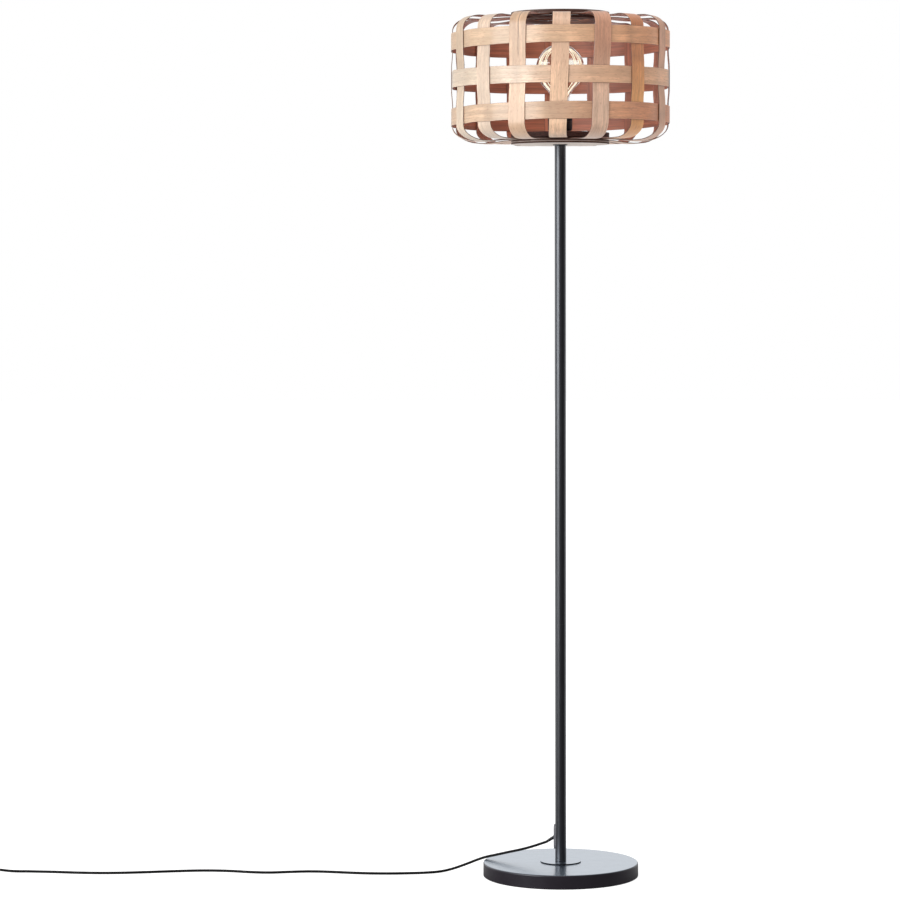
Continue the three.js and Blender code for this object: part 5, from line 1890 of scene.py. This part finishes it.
@dataclass
class Bulb:
    """The bulb: its contact tip, screw cap, clear globe, glass stem and filament."""

    shop: Workshop  # what makes the meshes
    diameter: float = 0.078  # the globe's diameter
    neck_radius: float = 0.0144  # the neck's radius
    neck_height: float = 0.029  # the height above the tip at which the neck starts to open out
    cap_radius: float = 0.013  # the cap's radius over its thread
    cap_wall: float = 0.0005  # the cap's wall
    cap_opening: float = 0.0092  # the radius of the opening in its foot
    thread_depth: float = 0.0008  # how deep the thread is
    thread_pitch: float = 0.00363  # the thread's pitch
    thread_turns: int = 5  # how many turns it has
    glass_wall: float = 0.0018  # the globe's wall
    meeting: float = -40.0  # the turn at which the neck's curve meets the globe, in degrees
    stem_radius: float = 0.0042  # the glass stem's radius
    stem_top: float = 0.062  # the height of its top above the tip
    strand_radius: float = 0.00055  # the radius of the filament's thread
    strand_inset: float = 0.0036  # how far in from the outside of the glass its strands lie
    strand_top: float = 0.009  # how near the axis they end above
    strands: int = 16  # how many strands it has
    # The contact tip's outline, as radius and height above its point.
    tip_outline: tuple[Point, ...] = (
        (0.0, 0.0), (0.0034, 0.0), (0.004, 0.0004), (0.0088, 0.0039), (0.009, 0.0045), (0.0, 0.0045)
    )

    def build(self) -> None:
        """Builds the bulb."""
        self.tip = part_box("bulb_tip")[0].z
        self.glass_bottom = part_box("bulb_glass")[0].z
        self.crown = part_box("bulb_glass")[1].z
        outline = [(radius, self.tip + height) for radius, height in self.tip_outline]
        tip = self.shop.turned("contact_tip", outline, 64)
        plastic = self.shop.looks.plastic
        self.shop.set_in(tip, plastic, "bulb_tip", Body.CONTACT)
        self._cap()
        outline = [*self._side(0), *reversed(self._side(self.glass_wall))]
        globe = self.shop.turned("globe", outline, 160)
        self.shop.set_in(globe, self.shop.looks.glass, "bulb_glass", Body.BULB)
        self._stem()
        self._filament()

    def _side(self, inset: float) -> list[Point]:
        """Gives one side of the glass, from its foot to its crown.

        Args:
            inset: How far in from the outer side it lies.

        Returns:
            Points of radius and height.
        """
        globe = self.diameter / 2 - inset
        middle = self.crown - self.diameter / 2
        neck = self.neck_radius - inset
        neck_z = self.tip + self.neck_height
        turn = math.radians(self.meeting)
        foot = Vector((neck, neck_z))
        meet = Vector((globe * math.cos(turn), middle + globe * math.sin(turn)))
        pull = (meet.y - neck_z) / 2
        along = Vector((-math.sin(turn), math.cos(turn)))
        knots = (foot, foot + Vector((0, pull)), meet - along * pull, meet)
        return [
            (self.cap_radius - inset, self.glass_bottom),
            *[tuple(bezier(knots, k / 16)) for k in range(17)],
            *arc((0, middle), globe, self.meeting, 90, 40)[1:-1],
            (0, middle + globe),
        ]

    def _cap(self) -> None:
        """Builds the screw cap."""
        low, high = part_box("bulb_cap")
        mean = self.cap_radius - self.thread_depth / 2
        start, end = low.z, low.z + self.thread_turns * self.thread_pitch
        bore = self.cap_radius - self.thread_depth - self.cap_wall
        outline = [
            (self.cap_opening, low.z),
            *[(mean, lerp(start, end, k / 96)) for k in range(97)],
            (self.cap_radius, high.z),
            (bore, high.z),
            (bore, low.z + self.cap_wall),
            (self.cap_opening, low.z + self.cap_wall),
        ]

        def reach(radius: float, height: float, turn: float) -> float:
            """Follows the thread's wave, which winds round the cap and fades at its ends."""
            if abs(radius - mean) > 1e-7:
                return radius
            share = (height - start) / (end - start)
            fade = min(1.0, 8 * share, 8 * (1 - share))
            phase = 2 * math.pi * (height - start) / self.thread_pitch - turn
            return radius + fade * self.thread_depth / 2 * math.sin(phase)

        cap = self.shop.turned("screw_cap", outline, 96, reach)
        self.shop.set_in(cap, self.shop.looks.steel, "bulb_cap", Body.BULB)

    def _stem(self) -> None:
        """Builds the glass stem, flared at its foot."""
        low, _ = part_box("bulb_stem")
        flare = self.cap_radius - self.glass_wall - FIT
        narrowing = flare - self.stem_radius
        top = self.tip + self.stem_top
        outline = [
            (0, low.z),
            (flare, low.z),
            *arc((flare, low.z + narrowing), narrowing, 269, 181, 10),
            *fillet((self.stem_radius, top), self.stem_radius, 0, 8)[:-1],
            (0, top),
        ]
        stem = self.shop.turned("glass_stem", outline, 48)
        self.shop.set_in(stem, self.shop.looks.glass, "bulb_stem", Body.BULB)

    def _filament(self) -> None:
        """Builds the filament, a thread that runs up and down close under the glass."""
        side = [p for p in self._side(self.strand_inset)[1::3] if p[0] > self.strand_top]
        points = []
        for strand in range(self.strands):
            turn = 2 * math.pi * strand / self.strands
            way = Vector((math.sin(turn), -math.cos(turn), 0))
            path = [way * radius + UP * height for radius, height in side]
            points += path if strand % 2 == 0 else path[::-1]
        wire = self.shop.wire("filament_thread", points, self.strand_radius, 3)
        filament = self.shop.looks.filament
        self.shop.set_in(wire, filament, "bulb_filament", Body.BULB)


@dataclass
class FootSwitch:
    """The foot switch on the cord: two shells, a latching core and a round button."""

    shop: Workshop  # what makes the meshes
    length: float = 0.090  # its length
    width: float = 0.033  # its width
    split: float = 0.0125  # the height of the joint between its shells
    top: float = 0.0215  # the height of its top
    wall: float = 0.002  # the shells' wall
    edge: float = 0.003  # the radius of its upper and lower edges
    soft: float = 0.0004  # how far the edges of the joint are cut off
    lap: float = 0.004  # how far the shells' hollows are cut past the joint
    nozzle_length: float = 0.011  # the length of the nozzles that the cord passes through
    nozzle_height: float = 0.008  # the height of their middle
    nozzle_radii: Point = (0.0042, 0.003)  # their radius at the shell and at their end
    nozzle_groove: float = 0.0004  # how deep their grooves are
    button_diameter: float = 0.023  # the button's diameter
    button_gap: float = 0.0004  # the air round it
    button_edge: float = 0.002  # the radius of its upper edge
    button_flange: float = 0.0016  # the width and thickness of the flange that keeps it in
    # Its dished top, as radius and depth.
    dish: tuple[Point, ...] = ((0.0075, 0.0003), (0.0046, 0.0008), (0.0, 0.0009))

    def build(self) -> list[bpy.types.Object]:
        """Builds the switch, and gives its two nozzles."""
        low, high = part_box("switch_base")
        self.middle = Vector(((low.x + high.x) / 2, 0, 0))
        nozzles = self._lower(low.z)
        self._upper()
        self._button()
        self.shop.keep(self.shop.looks.ceramic, "switch_core")
        return nozzles

    def _shell(self, name: str, heights: Sequence[Point]) -> bpy.types.Object:
        """Builds a level-sided form with round ends.

        Args:
            name: The piece's name.
            heights: Its sections, as height and how far in from the full size.

        Returns:
            The piece.
        """
        rings = []
        for height, inset in heights:
            centre = self.middle + UP * height
            rings.append(stadium(centre, self.length, self.width, inset))
        return self.shop.skin(name, rings)

    def _lower(self, floor: float) -> list[bpy.types.Object]:
        """Builds the lower shell with its two nozzles.

        Args:
            floor: The height of its underside.

        Returns:
            The nozzles.
        """
        plastic = self.shop.looks.plastic
        heights = [(floor + drop, inset) for drop, inset in reversed(rounding(self.edge, 6))]
        heights += [(self.split - self.soft, 0.0), (self.split, self.soft)]
        shell = self._shell("switch_lower", heights)
        inside = [(floor + self.wall, self.wall), (self.split + self.lap, self.wall)]
        self.shop.cut(shell, self._shell("switch_hollow", inside))
        self.shop.set_in(shell, plastic, "switch_base")
        nozzles = []
        for side, name in ((1, "switch_inlet"), (-1, "switch_exit")):
            way = Vector((side, 0, 0))
            root = self.middle + UP * self.nozzle_height + way * (self.length / 2 - self.wall)
            reach = way * (self.wall + self.nozzle_length)
            taper = Taper(
                root, reach, self.nozzle_radii, 26, range(7, 24), 5, self.nozzle_groove
            )
            nozzle = self.shop.skin(name, taper.rings())
            nozzles.append(self.shop.set_in(nozzle, plastic))
        return nozzles

    def _upper(self) -> None:
        """Builds the upper shell with its round hole."""
        bottom = self.split + SEAT
        heights = [(bottom, self.soft), (bottom + self.soft, 0.0)]
        heights += [(self.top - drop, inset) for drop, inset in rounding(self.edge, 8)]
        shell = self._shell("switch_upper", heights)
        inside = [(bottom - self.lap, self.wall), (self.top - self.wall, self.wall)]
        hollow = self._shell("switch_space", inside)
        reach = self.button_diameter / 2 + self.button_gap
        low, high = self.top - 2 * self.edge, self.top + 2 * self.edge
        outline = [(0, low), (reach, low), (reach, high), (0, high)]
        hole = self.shop.turned("switch_hole", outline, 72)
        hole.data.transform(Matrix.Translation(self.middle))
        self.shop.cut(shell, hollow, hole)
        self.shop.set_in(shell, self.shop.looks.plastic, "switch_cover")

    def _button(self) -> None:
        """Builds the button, with a shallow dish on top."""
        low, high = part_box("switch_button")
        radius = self.button_diameter / 2
        flange = low.z + self.button_flange
        outline = [
            (0, low.z),
            (radius + self.button_flange, low.z),
            (radius + self.button_flange, flange),
            (radius, flange),
            *fillet((radius, high.z), self.button_edge, 0, 8),
            *[(reach, high.z - depth) for reach, depth in self.dish],
        ]
        button = self.shop.turned("press_button", outline, 72)
        button.data.transform(Matrix.Translation(self.middle))
        grey = self.shop.looks.grey
        self.shop.set_in(button, grey, "switch_button", Body.BUTTON)


@dataclass
class MainsPlug:
    """The moulded plug: a flat body with grip ridges, a tapered tail and two round pins."""

    shop: Workshop  # what makes the meshes
    tail: float = 0.022  # the tail's length
    tail_radius: float = 0.003  # its radius at the cord
    waist: float = 0.00425  # the tail's radius where it meets the body
    shoulder: float = 0.009  # the length over which the body widens
    edge: float = 0.001  # the radius of the edge round its face
    groove: float = 0.0004  # how deep the tail's grooves are
    ridge: float = 0.0006  # how deep the grooves between the body's grip ridges are
    # The steps of the body's length at which those grooves lie.
    ridge_steps: tuple[int, ...] = (6, 7, 10, 11, 14, 15)
    pin_radius: float = 0.002  # the pins' radius
    sleeve: float = 0.009  # the length of each pin's sleeved root
    sleeve_share: float = 0.94  # the sleeve's radius, as a share of the pin's
    sleeve_step: float = 0.0002  # the length over which the pin widens past its sleeve
    tip_share: float = 0.6  # the length of its rounded end, as a share of its radius

    def build(self) -> list[bpy.types.Object]:
        """Builds the plug, and gives its pieces."""
        low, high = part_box("plug_body")
        start = Vector((low.x, (low.y + high.y) / 2, (low.z + high.z) / 2))
        length = high.x - low.x
        half_width, half_height = (high.y - low.y) / 2, (high.z - low.z) / 2
        forward = Vector((1, 0, 0))
        reach, radii = forward * self.tail, (self.tail_radius, self.waist)
        rings = Taper(start, reach, radii, 24, range(5, 25), 5, self.groove, 48).rings()
        for k in range(1, 13):
            share = ease(k / 12)
            place = start + forward * (self.tail + self.shoulder * k / 12)
            a = lerp(self.waist, half_width, share)
            b = lerp(self.waist, half_height, share)
            rings.append(round_section(place, forward, a, b, 48, lerp(2, 4, k / 12)))
        root, face = self.tail + self.shoulder, length - self.edge
        sections = []
        for k in range(1, 25):
            ridge = self.ridge if k in self.ridge_steps else 0
            sections.append((lerp(root, face, k / 24), ridge))
        sections += [(length - drop, inset) for drop, inset in rounding(self.edge, 4)[1:]]
        for x, inset in sections:
            a, b = half_width - inset, half_height - inset
            rings.append(round_section(start + forward * x, forward, a, b, 48, 4))
        body = self.shop.skin("plug_moulding", rings)
        self.shop.set_in(body, self.shop.looks.plastic, "plug_body")
        return [body, self._pin("near", forward), self._pin("far", forward)]

    def _pin(self, side: str, forward: Vector) -> bpy.types.Object:
        """Builds one pin: a sleeved root and a bare, rounded end.

        Args:
            side: Which pin it is.
            forward: The way that it points.

        Returns:
            The pin.
        """
        low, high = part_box(f"plug_pin_{side}")
        start = Vector((low.x, (low.y + high.y) / 2, (low.z + high.z) / 2))
        radius, thin = self.pin_radius, self.pin_radius * self.sleeve_share
        reach = radius * self.tip_share
        last = high.x - low.x - reach
        sections = [(0.0, thin), (self.sleeve, thin), (self.sleeve + self.sleeve_step, radius)]
        for turn in (math.radians(14 * k) for k in range(7)):
            sections.append((last + reach * math.sin(turn), radius * math.cos(turn)))
        rings = [round_section(start + forward * x, forward, r, r, 32) for x, r in sections]
        pin = self.shop.skin(f"prong_{side}", rings)
        return self.shop.set_in(pin, self.shop.looks.steel, f"plug_pin_{side}")


def main() -> None:
    """Builds the camera, the studio and the lamp's pieces in order."""
    logging.basicConfig(level=logging.INFO, format="%(name)s: %(message)s")
    Viewpoint().build()
    Studio().build()
    shop = Workshop(Finishes())
    cable = Cable(shop)
    cable.build()
    Base(shop).build()
    Pole(shop, cable).build()
    Shade(shop).build()
    Holder(shop).build()
    Bulb(shop).build()
    FootSwitch(shop).build()
    MainsPlug(shop).build()


if __name__ == "__main__":
    main()
